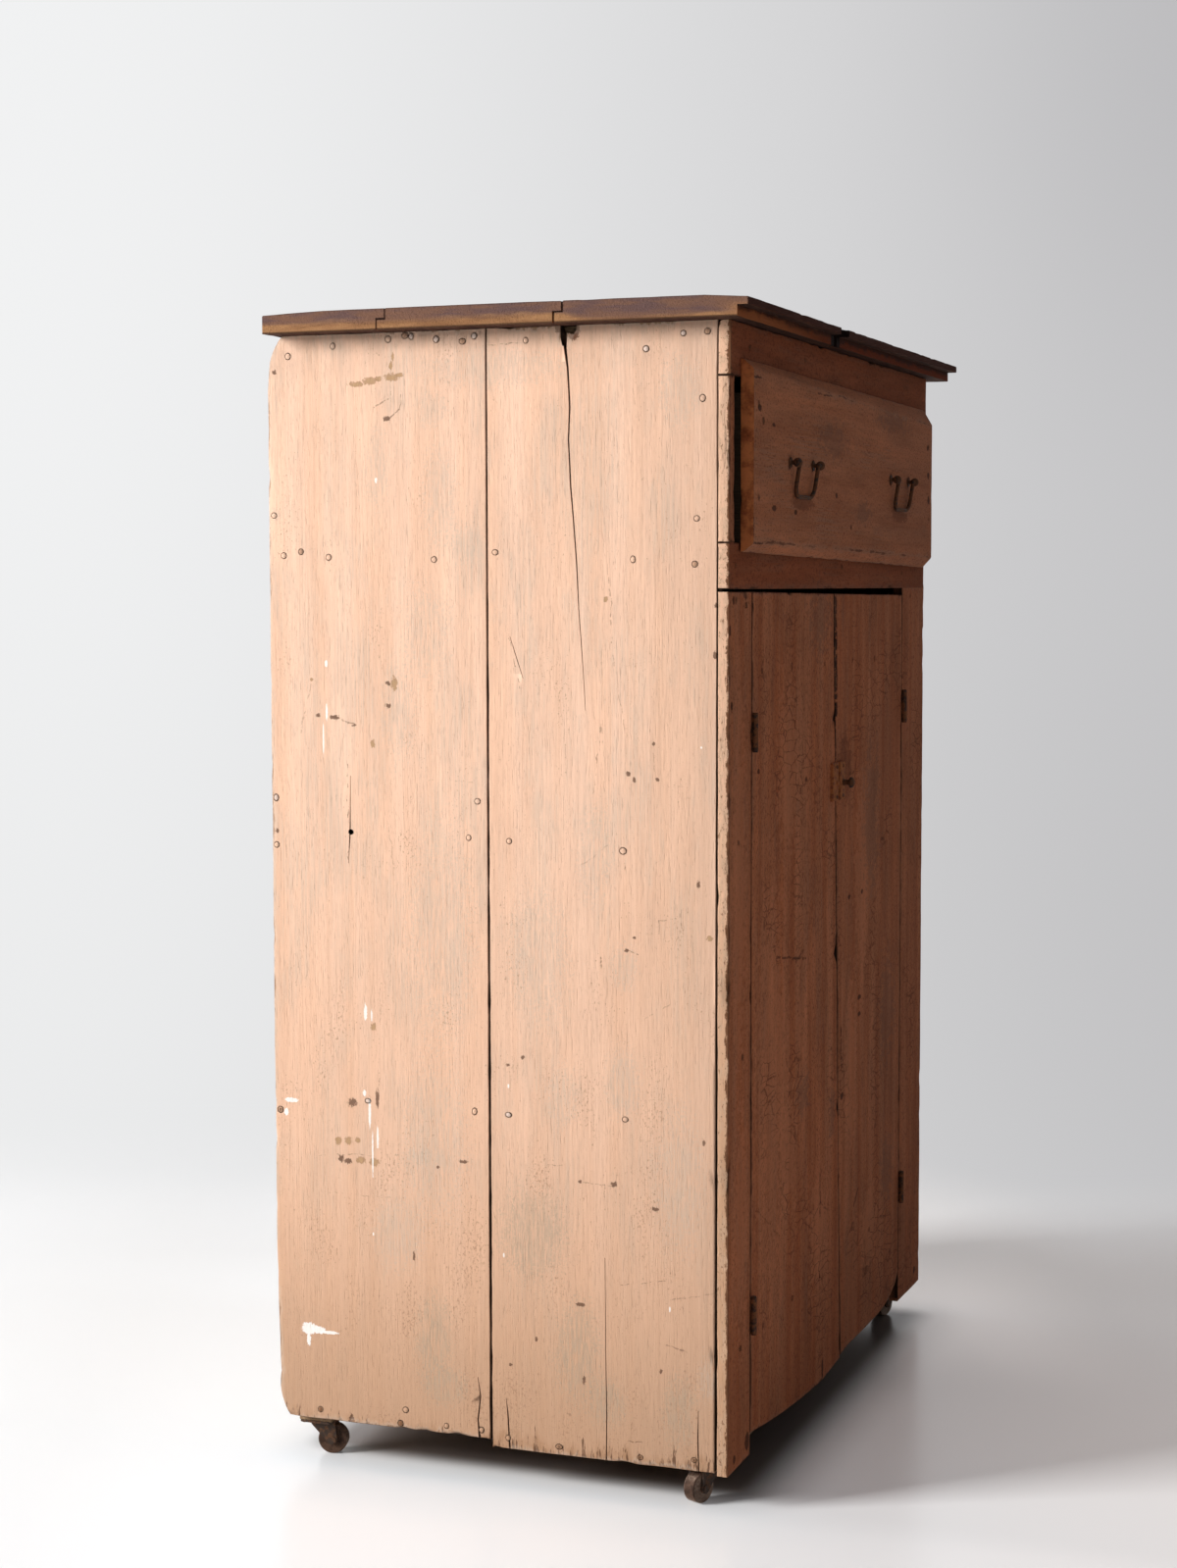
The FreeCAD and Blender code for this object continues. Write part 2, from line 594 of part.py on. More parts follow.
def latch_case():
    plate = latch_plate(LATCH_CASE_EDGE, LATCH_CASE_EDGE + LATCH_CASE_WIDTH, LATCH_CASE_THICKNESS)
    hole = rod(SPINDLE_RADIUS + SPINDLE_CLEARANCE, Vector(KNOB_X, LATCH_FACE - 1, KNOB_Z), Vector(0, 1, 0),
               LATCH_CASE_THICKNESS + 1)
    return plate.cut(hole)


def latch_knob():
    """A turned knob: spindle, waisted neck and domed head, as a revolved profile."""
    base = LATCH_FACE - SWIVEL_GAP
    head_back = LATCH_FACE - KNOB_PROJECTION + KNOB_HEAD
    tip = LATCH_FACE - KNOB_PROJECTION
    profile = [
        (0, DOOR_FACE - SWIVEL_GAP),
        (SPINDLE_RADIUS, DOOR_FACE - SWIVEL_GAP),
        (SPINDLE_RADIUS, base),
        (KNOB_NECK_RADIUS + 1, base),
        (KNOB_NECK_RADIUS, (base + head_back) / 2, KNOB_NECK_RADIUS + 0.6, head_back),
        (KNOB_RADIUS - 0.6, head_back),
        (KNOB_RADIUS, head_back - 0.35 * KNOB_HEAD, KNOB_RADIUS - 1.2, tip + 0.25 * KNOB_HEAD),
        (0.6 * KNOB_RADIUS, tip + 0.06 * KNOB_HEAD, 0.3 * KNOB_RADIUS, tip),
        (0, tip),
    ]
    face = outline(profile, lambda r, y: Vector(KNOB_X + r, y, KNOB_Z))
    return face.revolve(Vector(KNOB_X, 0, KNOB_Z), Vector(0, 1, 0), 360)


# Drawer

DRAWER_LEFT = INNER_LEFT + DRAWER_BOX_INSET
DRAWER_RIGHT = INNER_RIGHT - DRAWER_BOX_INSET
DRAWER_HEAD = DRAWER_FOOT + DRAWER_SIDE_HEIGHT
GROOVE_Z = DRAWER_FOOT + DRAWER_BOTTOM_RAISE


def drawer_front_profile(x, back_foot, back_head, bevel_foot, bevel_head):
    """The bevelled section of the drawer front at one end, rounded where bevel meets face."""
    back = DRAWER_BACK_FACE
    lip = back - DRAWER_BACK_LIP
    face = DRAWER_FACE
    round_off = 1.2
    path = [
        (back, back_head),
        (back, back_foot),
        (lip, back_foot),
        (face + round_off, back_foot + bevel_foot - round_off),
        (face, back_foot + bevel_foot + round_off),
        (face, back_head - bevel_head - round_off),
        (face + round_off, back_head - bevel_head + round_off),
        (lip, back_head),
    ]
    points = [Vector(x, y, z) for y, z in path]
    return Part.makePolygon(points + points[:1])


def drawer_front():
    left = INNER_LEFT + DRAWER_FRONT_SIDE_GAP
    right = INNER_RIGHT - DRAWER_FRONT_SIDE_GAP
    foot = MIDDLE_RAIL_TOP - DRAWER_FRONT_BOTTOM_LAP
    head = TOP_RAIL_FOOT + DRAWER_FRONT_TOP_LAP
    at_left = drawer_front_profile(left, foot, head, DRAWER_BEVEL_LEFT_BOTTOM, DRAWER_BEVEL_LEFT_TOP)
    at_right = drawer_front_profile(right, foot - DRAWER_FRONT_SAG_BOTTOM, head - DRAWER_FRONT_SAG_TOP,
                                    DRAWER_BEVEL_RIGHT_BOTTOM, DRAWER_BEVEL_RIGHT_TOP)
    return Part.makeLoft([at_left, at_right], True, True)


def drawer_side(x0, inner):
    """A side board with the groove for the bottom in its inner face; inner is +1 or -1 along X."""
    board = block(x0, x0 + DRAWER_BOARD, DRAWER_BACK_FACE, DRAWER_END, DRAWER_FOOT, DRAWER_HEAD)
    deep = x0 + DRAWER_BOARD - DRAWER_GROOVE_DEPTH if inner > 0 else x0
    groove = block(deep, deep + DRAWER_GROOVE_DEPTH, DRAWER_BACK_FACE - 1, DRAWER_END + 1,
                   GROOVE_Z, GROOVE_Z + DRAWER_BOTTOM_THICKNESS + DRAWER_GROOVE_PLAY)
    return board.cut(groove)


def drawer_back():
    foot = GROOVE_Z + DRAWER_BOTTOM_THICKNESS + DRAWER_GROOVE_PLAY
    return block(DRAWER_LEFT + DRAWER_BOARD, DRAWER_RIGHT - DRAWER_BOARD, DRAWER_END - DRAWER_BOARD, DRAWER_END,
                 foot, DRAWER_HEAD)


def drawer_bottom():
    tongue = DRAWER_BOARD - DRAWER_GROOVE_DEPTH + DRAWER_GROOVE_PLAY
    return block(DRAWER_LEFT + tongue, DRAWER_RIGHT - tongue, DRAWER_BACK_FACE, DRAWER_END,
                 GROOVE_Z, GROOVE_Z + DRAWER_BOTTOM_THICKNESS)


def drawer_runner(wall, inner):
    """A runner with a guide rising beside the drawer; inner is +1 or -1 along X."""
    guide = DRAWER_BOX_INSET - GUIDE_PLAY
    head = MIDDLE_RAIL_TOP
    path = [(wall, head - RUNNER_HEIGHT), (wall + inner * RUNNER_WIDTH, head - RUNNER_HEIGHT),
            (wall + inner * RUNNER_WIDTH, head), (wall + inner * guide, head),
            (wall + inner * guide, head + GUIDE_HEIGHT), (wall, head + GUIDE_HEIGHT)]
    return front_slab(path, 0, BACK_INNER_FACE)


# Bail pulls

def pull_post(x, z):
    """A rose, a shank and a drilled ball standing out of the drawer front."""
    out = Vector(0, -1, 0)
    rose = rod(PULL_ROSE_RADIUS, Vector(x, DRAWER_FACE, z), out, PULL_ROSE_THICKNESS)
    shank = rod(PULL_SHANK_RADIUS, Vector(x, DRAWER_FACE, z), out, PULL_STANDOFF)
    ball = Part.makeSphere(PULL_BALL_RADIUS, Vector(x, PULL_AXIS_Y, z))
    eye = rod(BAIL_WIRE_RADIUS + BAIL_HOLE_CLEARANCE, Vector(x - 2 * PULL_BALL_RADIUS, PULL_AXIS_Y, z),
              Vector(1, 0, 0), 4 * PULL_BALL_RADIUS)
    return rose.fuse([shank, ball]).cut(eye).removeSplitter()


def pull_posts(x, z):
    return group([pull_post(x, z), pull_post(x + PULL_SPACING, z)])


def bail(x, z):
    """A bent wire: its ends turn outward through the balls, and it hangs with its bar near the face."""
    reach = PULL_BALL_RADIUS + BAIL_LEG_GAP + BAIL_WIRE_RADIUS
    left = x + reach
    right = x + PULL_SPACING - reach
    lean = math.asin((PULL_STANDOFF - BAIL_WIRE_RADIUS - BAIL_REST_GAP) / BAIL_DROP)
    end = PULL_BALL_RADIUS + BAIL_END_PAST_BALL

    def place(px, drop):
        return Vector(px, PULL_AXIS_Y + drop * math.sin(lean), z - drop * math.cos(lean))

    corners = [(left, 0, BAIL_TOP_BEND), (left, BAIL_DROP, BAIL_BOTTOM_BEND),
               (right, BAIL_DROP, BAIL_BOTTOM_BEND), (right, 0, BAIL_TOP_BEND)]
    half = math.sqrt(0.5)
    edges = []
    here = (x - end, 0)
    ways = [(1, 0), (0, 1), (1, 0), (0, -1), (1, 0)]
    for index, (cx, cd, bend) in enumerate(corners):
        ux, ud = ways[index]
        vx, vd = ways[index + 1]
        start = (cx - ux * bend, cd - ud * bend)
        stop = (cx + vx * bend, cd + vd * bend)
        centre = (start[0] + vx * bend, start[1] + vd * bend)
        middle = (centre[0] + (ux - vx) * half * bend, centre[1] + (ud - vd) * half * bend)
        edges.append(Part.makeLine(place(*here), place(*start)))
        edges.append(Part.Arc(place(*start), place(*middle), place(*stop)).toShape())
        here = stop
    edges.append(Part.makeLine(place(*here), place(x + PULL_SPACING + end, 0)))
    section = Part.Wire(Part.makeCircle(BAIL_WIRE_RADIUS, place(x - end, 0), Vector(1, 0, 0)))
    return Part.Wire(edges).makePipeShell([section], True, False)


LEFT_PULL_Z = TOP_RAIL_FOOT - LEFT_PULL_BELOW_TOP
RIGHT_PULL_Z = TOP_RAIL_FOOT - RIGHT_PULL_BELOW_TOP


# Casters

def rounded_square(place, size, radius, z0, z1):
    x, y = place
    half = size / 2
    plate = block(x - half, x + half, y - half, y + half, z0, z1)
    return plate.makeFillet(radius, [e for e in plate.Edges if e.CenterOfMass.z > z0 and e.CenterOfMass.z < z1])


def screw_places(place):
    x, y = place
    half = CASTER_SCREW_SPACING / 2
    return [(x + sx * half, y + sy * half) for sx in (-1, 1) for sy in (-1, 1)]


def drilled(solid, places, radius, z0, z1):
    for x, y in places:
        solid = solid.cut(rod(radius, Vector(x, y, z0), Vector(0, 0, 1), z1 - z0))
    return solid


def caster_plate(place):
    plate = rounded_square(place, CASTER_PLATE, CASTER_PLATE_ROUND, PLATE_FOOT, 0)
    plate = drilled(plate, [place], KINGPIN_RADIUS + KINGPIN_CLEARANCE, PLATE_FOOT - 1, 1)
    return drilled(plate, screw_places(place), CASTER_SCREW_RADIUS + SCREW_HOLE_CLEARANCE, PLATE_FOOT - 1, 1)


def packing_block(place):
    """A thin block between the plate and the bottom board, bored out over the kingpin's head."""
    x, y = place
    half = CASTER_PLATE / 2
    pad = block(max(x - half, INNER_LEFT), min(x + half, INNER_RIGHT), y - half, y + half, 0, BOTTOM_RISE)
    pad = drilled(pad, [place], KINGPIN_RECESS_RADIUS, -1, BOTTOM_RISE + 1)
    return drilled(pad, screw_places(place), CASTER_SCREW_RADIUS + SCREW_HOLE_CLEARANCE, -1, BOTTOM_RISE + 1)


def caster_screw(x, y):
    up = Vector(0, 0, 1)
    head = rod(CASTER_SCREW_HEAD_RADIUS, Vector(x, y, PLATE_FOOT - CASTER_SCREW_HEAD), up, CASTER_SCREW_HEAD)
    shank = rod(CASTER_SCREW_RADIUS, Vector(x, y, PLATE_FOOT - CASTER_SCREW_HEAD), up,
                CASTER_SCREW_HEAD + CASTER_SCREW_LENGTH)
    return head.fuse(shank).removeSplitter()


def caster_screws():
    return group([caster_screw(x, y) for place in CASTER_PLACE.values() for x, y in screw_places(place)])


def turned(solid, name):
    """Turns a caster piece, drawn trailing along +X at the case corner, to its own angle and place."""
    x, y = CASTER_PLACE[name]
    solid.rotate(Vector(0, 0, 0), Vector(0, 0, 1), CASTER_TRAIL_ANGLE[name])
    solid.translate(Vector(x, y, 0))
    return solid


def caster_fork(name):
    """A crown with two cheeks, its riveted kingpin, and the axle as a solid of its own."""
    up = Vector(0, 0, 1)
    inner = WHEEL_WIDTH / 2 + FORK_SIDE_PLAY
    outer = inner + FORK_ARM
    crown_foot = FORK_TOP - FORK_CROWN
    heel = CASTER_TRAIL + FORK_BOSS_RADIUS * 0.6
    fork = block(-FORK_NOSE, heel, -outer, outer, crown_foot, FORK_TOP)
    across = math.sqrt(0.5) * FORK_BOSS_RADIUS
    cheek = [
        (-FORK_NOSE, FORK_TOP),
        (-FORK_NOSE, crown_foot),
        (CASTER_TRAIL - across, AXLE_Z - across),
        (CASTER_TRAIL, AXLE_Z - FORK_BOSS_RADIUS, CASTER_TRAIL + FORK_BOSS_RADIUS, AXLE_Z),
        (heel, crown_foot),
        (heel, FORK_TOP),
    ]
    for y0 in (-outer, inner):
        fork = fork.fuse(front_slab(cheek, y0, y0 + FORK_ARM))
    fork = fork.cut(rod(AXLE_RADIUS + AXLE_CLEARANCE, Vector(CASTER_TRAIL, -outer - 1, AXLE_Z), Vector(0, 1, 0),
                        2 * outer + 2))
    pin = rod(KINGPIN_RADIUS, Vector(0, 0, crown_foot), up, SWIVEL_GAP - crown_foot)
    head = rod(KINGPIN_HEAD_RADIUS, Vector(0, 0, SWIVEL_GAP), up, KINGPIN_HEAD)
    fork = fork.fuse([pin, head]).removeSplitter()
    axle = rod(AXLE_RADIUS, Vector(CASTER_TRAIL, -outer - AXLE_HEAD, AXLE_Z), Vector(0, 1, 0),
               2 * (outer + AXLE_HEAD))
    for y0 in (-outer - AXLE_HEAD, outer):
        axle = axle.fuse(rod(AXLE_HEAD_RADIUS, Vector(CASTER_TRAIL, y0, AXLE_Z), Vector(0, 1, 0), AXLE_HEAD))
    return turned(group([fork, axle.removeSplitter()]), name)


def caster_wheel(name):
    """A turned disc with a rounded tread and a short hub, as a revolved profile."""
    half = WHEEL_WIDTH / 2
    hub = half + WHEEL_HUB_PROUD
    bore = AXLE_RADIUS + AXLE_CLEARANCE
    corner = WHEEL_ROUND * (1 - math.sqrt(0.5))
    profile = [
        (bore, -hub),
        (WHEEL_HUB_RADIUS, -hub),
        (WHEEL_HUB_RADIUS, -half),
        (WHEEL_RADIUS - WHEEL_ROUND, -half),
        (WHEEL_RADIUS - corner, -half + corner, WHEEL_RADIUS, -half + WHEEL_ROUND),
        (WHEEL_RADIUS, half - WHEEL_ROUND),
        (WHEEL_RADIUS - corner, half - corner, WHEEL_RADIUS - WHEEL_ROUND, half),
        (WHEEL_HUB_RADIUS, half),
        (WHEEL_HUB_RADIUS, hub),
        (bore, hub),
    ]
    face = outline(profile, lambda r, y: Vector(CASTER_TRAIL + r, y, AXLE_Z))
    return turned(face.revolve(Vector(CASTER_TRAIL, 0, AXLE_Z), Vector(0, 1, 0), 360), name)


def cupboard():
    """Every piece by name, in the case's coordinates."""
    left_hinge = LEFT_STILE_WIDTH + HINGE_SEAM_HALF
    right_hinge = RIGHT_SEAM - HINGE_SEAM_HALF
    pieces = {
        "side_board_left_front": side_front_board(0, SIDE_THICKNESS, 0, True),
        "side_board_left_back": side_back_board(0, SIDE_THICKNESS, 0),
        "side_board_right_front": side_front_board(INNER_RIGHT, CASE_WIDTH, CASE_WIDTH, False),
        "side_board_right_back": side_back_board(INNER_RIGHT, CASE_WIDTH, CASE_WIDTH),
        "bottom_board": shelf(BOTTOM_RISE + SHELF_THICKNESS, 0),
        "lower_shelf": shelf(LOWER_SHELF_TOP, SHELF_SETBACK),
        "upper_shelf": shelf(UPPER_SHELF_TOP, SHELF_SETBACK),
        "top_cleat_left": top_cleat(INNER_LEFT),
        "top_cleat_right": top_cleat(INNER_RIGHT - TOP_CLEAT),
        "top_rail": rail(TOP_RAIL_FOOT, SIDE_HEIGHT, TOP_RAIL_THICKNESS),
        "middle_rail": rail(MIDDLE_RAIL_FOOT, MIDDLE_RAIL_TOP, STILE_THICKNESS),
        "drawer_stile_left": drawer_stile(0),
        "drawer_stile_right": drawer_stile(INNER_RIGHT),
        "door_stile_left": door_stile(0, LEFT_STILE_WIDTH - HINGE_SEAM_HALF, DOOR_STILE_TOP),
        "door_stile_right": door_stile(CASE_WIDTH, RIGHT_SEAM + HINGE_SEAM_HALF, RIGHT_STILE_TOP),
        "drawer_runner_left": drawer_runner(INNER_LEFT, 1),
        "drawer_runner_right": drawer_runner(INNER_RIGHT, -1),
        "drawer_front": drawer_front(),
        "drawer_side_left": drawer_side(DRAWER_LEFT, 1),
        "drawer_side_right": drawer_side(DRAWER_RIGHT - DRAWER_BOARD, -1),
        "drawer_back": drawer_back(),
        "drawer_bottom": drawer_bottom(),
        "pull_posts_left": pull_posts(LEFT_PULL_X, LEFT_PULL_Z),
        "pull_posts_right": pull_posts(RIGHT_PULL_X, RIGHT_PULL_Z),
        "pull_bail_left": bail(LEFT_PULL_X, LEFT_PULL_Z),
        "pull_bail_right": bail(RIGHT_PULL_X, RIGHT_PULL_Z),
        "door_left": door_left(),
        "door_right": door_right(),
        "door_battens_left": battens(left_hinge, 1),
        "door_battens_right": battens(right_hinge, -1),
        "hinge_leaves_frame": hinge_leaves((LEFT_STILE_WIDTH, RIGHT_SEAM), (-1, 1), (0, 2)),
        "hinge_leaves_door_left": hinge_leaves((LEFT_STILE_WIDTH,), (1,), (1,)),
        "hinge_leaves_door_right": hinge_leaves((RIGHT_SEAM,), (-1,), (1,)),
        "hinge_pins": group([hinge_pin(x, z) for x in (LEFT_STILE_WIDTH, RIGHT_SEAM) for z in HINGE_HEIGHTS]),
        "latch_keeper": latch_keeper(),
        "latch_case": latch_case(),
        "latch_knob": latch_knob(),
        "caster_plates": group([caster_plate(place) for place in CASTER_PLACE.values()]),
        "caster_packing_blocks": group([packing_block(place) for place in CASTER_PLACE.values()]),
        "caster_screws": caster_screws(),
    }
    for name in ("front", "middle", "back"):
        pieces["top_board_" + name] = top_board(name)
    for index in range(BACK_BOARD_COUNT):
        pieces["back_board_" + str(index + 1)] = back_board(index)
    for name in CASTER_PLACE:
        pieces["caster_fork_" + name] = caster_fork(name)
        pieces["caster_wheel_" + name] = caster_wheel(name)
    return pieces


os.makedirs("parts", exist_ok=True)
for node, shape in cupboard().items():
    shape.translate(-ORIGIN)
    shape.exportStep("parts/" + node + ".step")
    print(node, len(shape.Solids), "solids", round(sum(s.Volume for s in shape.Solids) / 1000, 2), "cm3",
          "valid" if shape.isValid() else "NOT VALID")
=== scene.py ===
# %% [markdown]
# # An old painted cupboard on casters
# A country cupboard: plank sides, a shiplapped top, one drawer with two bail pulls, and two plank
# doors under it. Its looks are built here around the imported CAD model, which gives every size.
# The CAD stays as the fixed frame. Boards whose edges are worn get a weathered copy in its place,
# and the small iron parts keep their CAD shape and only get a finish.

# %% The frame
import bmesh
import bpy
import json
import math
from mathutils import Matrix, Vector, noise
from mathutils.kdtree import KDTree

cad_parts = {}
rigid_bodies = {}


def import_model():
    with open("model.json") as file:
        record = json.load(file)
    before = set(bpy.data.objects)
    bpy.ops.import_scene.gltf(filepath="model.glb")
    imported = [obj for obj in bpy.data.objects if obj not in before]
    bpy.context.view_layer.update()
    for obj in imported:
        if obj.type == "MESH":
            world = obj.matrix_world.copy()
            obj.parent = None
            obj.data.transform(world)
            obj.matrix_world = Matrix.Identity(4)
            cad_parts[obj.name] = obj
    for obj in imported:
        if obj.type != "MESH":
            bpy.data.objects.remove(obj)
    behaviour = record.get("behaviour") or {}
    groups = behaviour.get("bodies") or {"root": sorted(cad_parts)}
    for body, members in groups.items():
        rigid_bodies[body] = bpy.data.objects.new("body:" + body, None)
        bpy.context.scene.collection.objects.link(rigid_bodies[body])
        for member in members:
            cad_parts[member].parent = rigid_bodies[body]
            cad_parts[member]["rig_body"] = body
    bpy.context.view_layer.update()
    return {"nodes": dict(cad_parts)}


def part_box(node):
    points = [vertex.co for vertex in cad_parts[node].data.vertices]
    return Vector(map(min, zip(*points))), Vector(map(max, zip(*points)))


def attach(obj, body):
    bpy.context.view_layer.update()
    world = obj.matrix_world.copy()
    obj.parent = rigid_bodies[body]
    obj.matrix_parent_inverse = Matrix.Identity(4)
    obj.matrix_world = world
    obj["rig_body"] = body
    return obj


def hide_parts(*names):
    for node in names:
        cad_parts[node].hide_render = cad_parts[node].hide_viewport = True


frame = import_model()
nodes = frame["nodes"]

# %% [markdown]
# ## Millimetres on the case
# A maker measures from the case itself: x from the left side's outer face, y from the sides'
# front edge, z from the foot of the front side board. The frame's origin is on the floor under the
# middle of the cupboard, so one small helper turns the first into the second. The level joints of
# the front frame lie at three heights: door heads, drawer rail and top rail.

# %% Case coordinates
CASE_ORIGIN = Vector((424.75, 227.75, -39.0))
SIDE_WIDTH = 495.0
CASE_WIDTH = 817.5
FRAME_LEVELS = (894.2, 940.0, 1104.0)


def place(x, y, z):
    return (Vector((x, y, z)) - CASE_ORIGIN) / 1000


print("front lower left corner", place(0, 0, 0)[:])

# %% [markdown]
# ## The camera
# The photograph is taken from the left, a little above the middle, looking slightly down. The lens
# and place were found from the straight edges of the case.

# %% Camera
LENS = 61.11
CAMERA_PLACE = place(-2513.4, -807.5, 898.0)
AZIMUTH = math.radians(-69.406)
ELEVATION = math.radians(4.264)
ROLL = math.radians(-0.125)


def camera_turn():
    back = Vector((math.sin(AZIMUTH) * math.cos(ELEVATION), -math.cos(AZIMUTH) * math.cos(ELEVATION),
                   math.sin(ELEVATION)))
    turn = back.to_track_quat("Z", "Y").to_matrix()
    right = turn.col[0] * math.cos(ROLL) + turn.col[1] * math.sin(ROLL)
    up = turn.col[1] * math.cos(ROLL) - turn.col[0] * math.sin(ROLL)
    turn.col[0] = right
    turn.col[1] = up
    return turn.to_4x4()


camera = bpy.data.objects.new("camera", bpy.data.cameras.new("camera"))
camera.data.sensor_fit = "VERTICAL"
camera.data.sensor_height = 36.0
camera.data.lens = LENS
camera.matrix_world = camera_turn()
camera.matrix_world.translation = CAMERA_PLACE
bpy.context.scene.collection.objects.link(camera)
bpy.context.scene.camera = camera
print("camera at", camera.location[:])

# %% [markdown]
# ## Building shader nodes in code
# Every finish here is a small network of nodes. Small helpers keep the code readable: one adds a
# node and joins its inputs, others make sums with numbers and vectors, two mix colours, and one
# turns a value into a soft mask. All of them only add nodes to the tree that they are given.

# %% Node helpers


def add(tree, kind, inputs=None, family="ShaderNode", **settings):
    """A new node: settings are its own choices, an input is a socket to link or a value to keep."""
    node = tree.nodes.new(family + kind)
    for key, value in settings.items():
        setattr(node, key, value)
    for key, value in (inputs or {}).items():
        if isinstance(value, bpy.types.NodeSocket):
            tree.links.new(value, node.inputs[key])
        else:
            node.inputs[key].default_value = value
    return node


def calc(tree, operation, *values):
    return add(tree, "Math", dict(enumerate(values)), operation=operation).outputs[0]


def times(tree, first, second):
    return calc(tree, "MULTIPLY", first, second)


def rest(tree, value):
    """What is left of 1."""
    return calc(tree, "SUBTRACT", 1.0, value)


def distance(tree, first, second):
    return calc(tree, "ABSOLUTE", calc(tree, "SUBTRACT", first, second))


def swayed(tree, value, rough, size):
    """A value pushed up and down by a noise whose middle is a half."""
    return calc(tree, "MULTIPLY_ADD", calc(tree, "SUBTRACT", rough, 0.5), size, value)


def vector_calc(tree, operation, *values):
    return add(tree, "VectorMath", dict(enumerate(values)), operation=operation).outputs[0]


def measure(tree, operation, *vectors):
    """A number found from vectors, such as a length or a distance."""
    return add(tree, "VectorMath", dict(enumerate(vectors)), operation=operation).outputs["Value"]


def scaled(tree, vector, factor):
    return add(tree, "VectorMath", {0: vector, "Scale": factor}, operation="SCALE").outputs[0]


def parts(tree, vector):
    return add(tree, "SeparateXYZ", {0: vector}).outputs


def joined(tree, values):
    return add(tree, "CombineXYZ", values).outputs[0]


def attribute(tree, name):
    return add(tree, "Attribute", attribute_name=name).outputs["Fac"]


def mixed(tree, share, first, second, blend="MIX"):
    return add(tree, "Mix", {0: share, 6: first, 7: second}, data_type="RGBA", blend_type=blend).outputs[2]


def stained(tree, color, where, strength, stain):
    return mixed(tree, times(tree, where, strength), color, stain)


def mask(tree, value, low, high):
    return add(tree, "MapRange", {"Value": value, "From Min": low, "From Max": high},
               interpolation_type="SMOOTHSTEP").outputs[0]


def stretched(tree, vector, across, along, shift=0.0):
    return vector_calc(tree, "MULTIPLY_ADD", vector, (across, across, along), (shift, shift, shift))


def clouds(tree, vector, detail=3.0, roughness=0.5, distortion=0.0):
    return add(tree, "TexNoise", {"Vector": vector, "Scale": 1.0, "Detail": detail, "Roughness": roughness,
                                  "Distortion": distortion}).outputs[0]


def new_group(name, inputs, outputs):
    tree = bpy.data.node_groups.new(name, "ShaderNodeTree")
    for label, kind, value in inputs:
        socket = tree.interface.new_socket(label, in_out="INPUT", socket_type="NodeSocket" + kind)
        if value is not None:
            socket.default_value = value
    for label, kind in outputs:
        tree.interface.new_socket(label, in_out="OUTPUT", socket_type="NodeSocket" + kind)
    entry = tree.nodes.new("NodeGroupInput")
    leave = tree.nodes.new("NodeGroupOutput")
    return tree, entry.outputs, leave.inputs


def placed_group(tree, group, inputs):
    return add(tree, "Group", inputs, node_tree=group).outputs


# %% [markdown]
# ## Wood grain
# Softwood boards show broad bands, fine fibres, arched figure and short pores, all drawn out along
# the board. Stretching noise along one axis gives bands and fibres, and the contour lines of a slow
# noise give the arches. The group expects millimetres with the grain along Z.

# %% Grain group


def grain_group():
    tree, given, out = new_group("wood_grain", [("Vector", "Vector", None)], [
        ("Bands", "Float"), ("Fibre", "Float"), ("Figure", "Float"), ("Pores", "Float")])
    vector = given["Vector"]
    bands = clouds(tree, stretched(tree, vector, 0.045, 0.0016), 4.0)
    fibre = clouds(tree, stretched(tree, vector, 0.5, 0.012, 7.0), 3.0)
    slow = clouds(tree, stretched(tree, vector, 0.010, 0.0011, 3.0), 2.0, 0.4, 0.5)
    wave = calc(tree, "SINE", times(tree, slow, 110.0))
    figure = mask(tree, wave, 0.35, 1.0)
    pores = mask(tree, clouds(tree, stretched(tree, vector, 0.75, 0.06, 11.0), 2.0, 0.6), 0.60, 0.70)
    for label, value in (("Bands", bands), ("Fibre", fibre), ("Figure", figure), ("Pores", pores)):
        tree.links.new(value, out[label])
    return tree


GRAIN = grain_group()

# %% [markdown]
# ## Edge wear
# Paint goes first where hands, brooms and knees touch: along edges. Each weathered board carries
# an attribute that is 1 on its edges and falls to 0 a little way in. Noise breaks that band up, and
# two thresholds give thin rubbed paint and, closer to the edge, bare wood.

# %% Edge wear group


def wear_group():
    tree, given, out = new_group("edge_wear", [("Vector", "Vector", None), ("Reach", "Float", 1.0)], [
        ("Rubbed", "Float"), ("Bare", "Float")])
    edge = attribute(tree, "edge")
    rough = clouds(tree, stretched(tree, given["Vector"], 0.16, 0.035, 5.0), 5.0, 0.65)
    patchy = clouds(tree, stretched(tree, given["Vector"], 0.012, 0.006, 9.0), 2.0)
    level = times(tree, times(tree, edge, given["Reach"]), calc(tree, "ADD", patchy, 0.4))
    level = calc(tree, "ADD", level, times(tree, calc(tree, "SUBTRACT", rough, 0.5), 1.3))
    tree.links.new(mask(tree, level, 0.45, 0.75), out["Rubbed"])
    tree.links.new(mask(tree, level, 0.72, 0.90), out["Bare"])
    return tree


WEAR = wear_group()

# %% [markdown]
# ## Old paint
# The salmon paint has faded unevenly. The wood's grey age shows through in clouds of short strokes,
# small specks of dirt sit in the brush marks, and whole patches are a little lighter or darker. One
# group makes that skin for every painted board; each board gives its own colours and amounts.

# %% Paint group


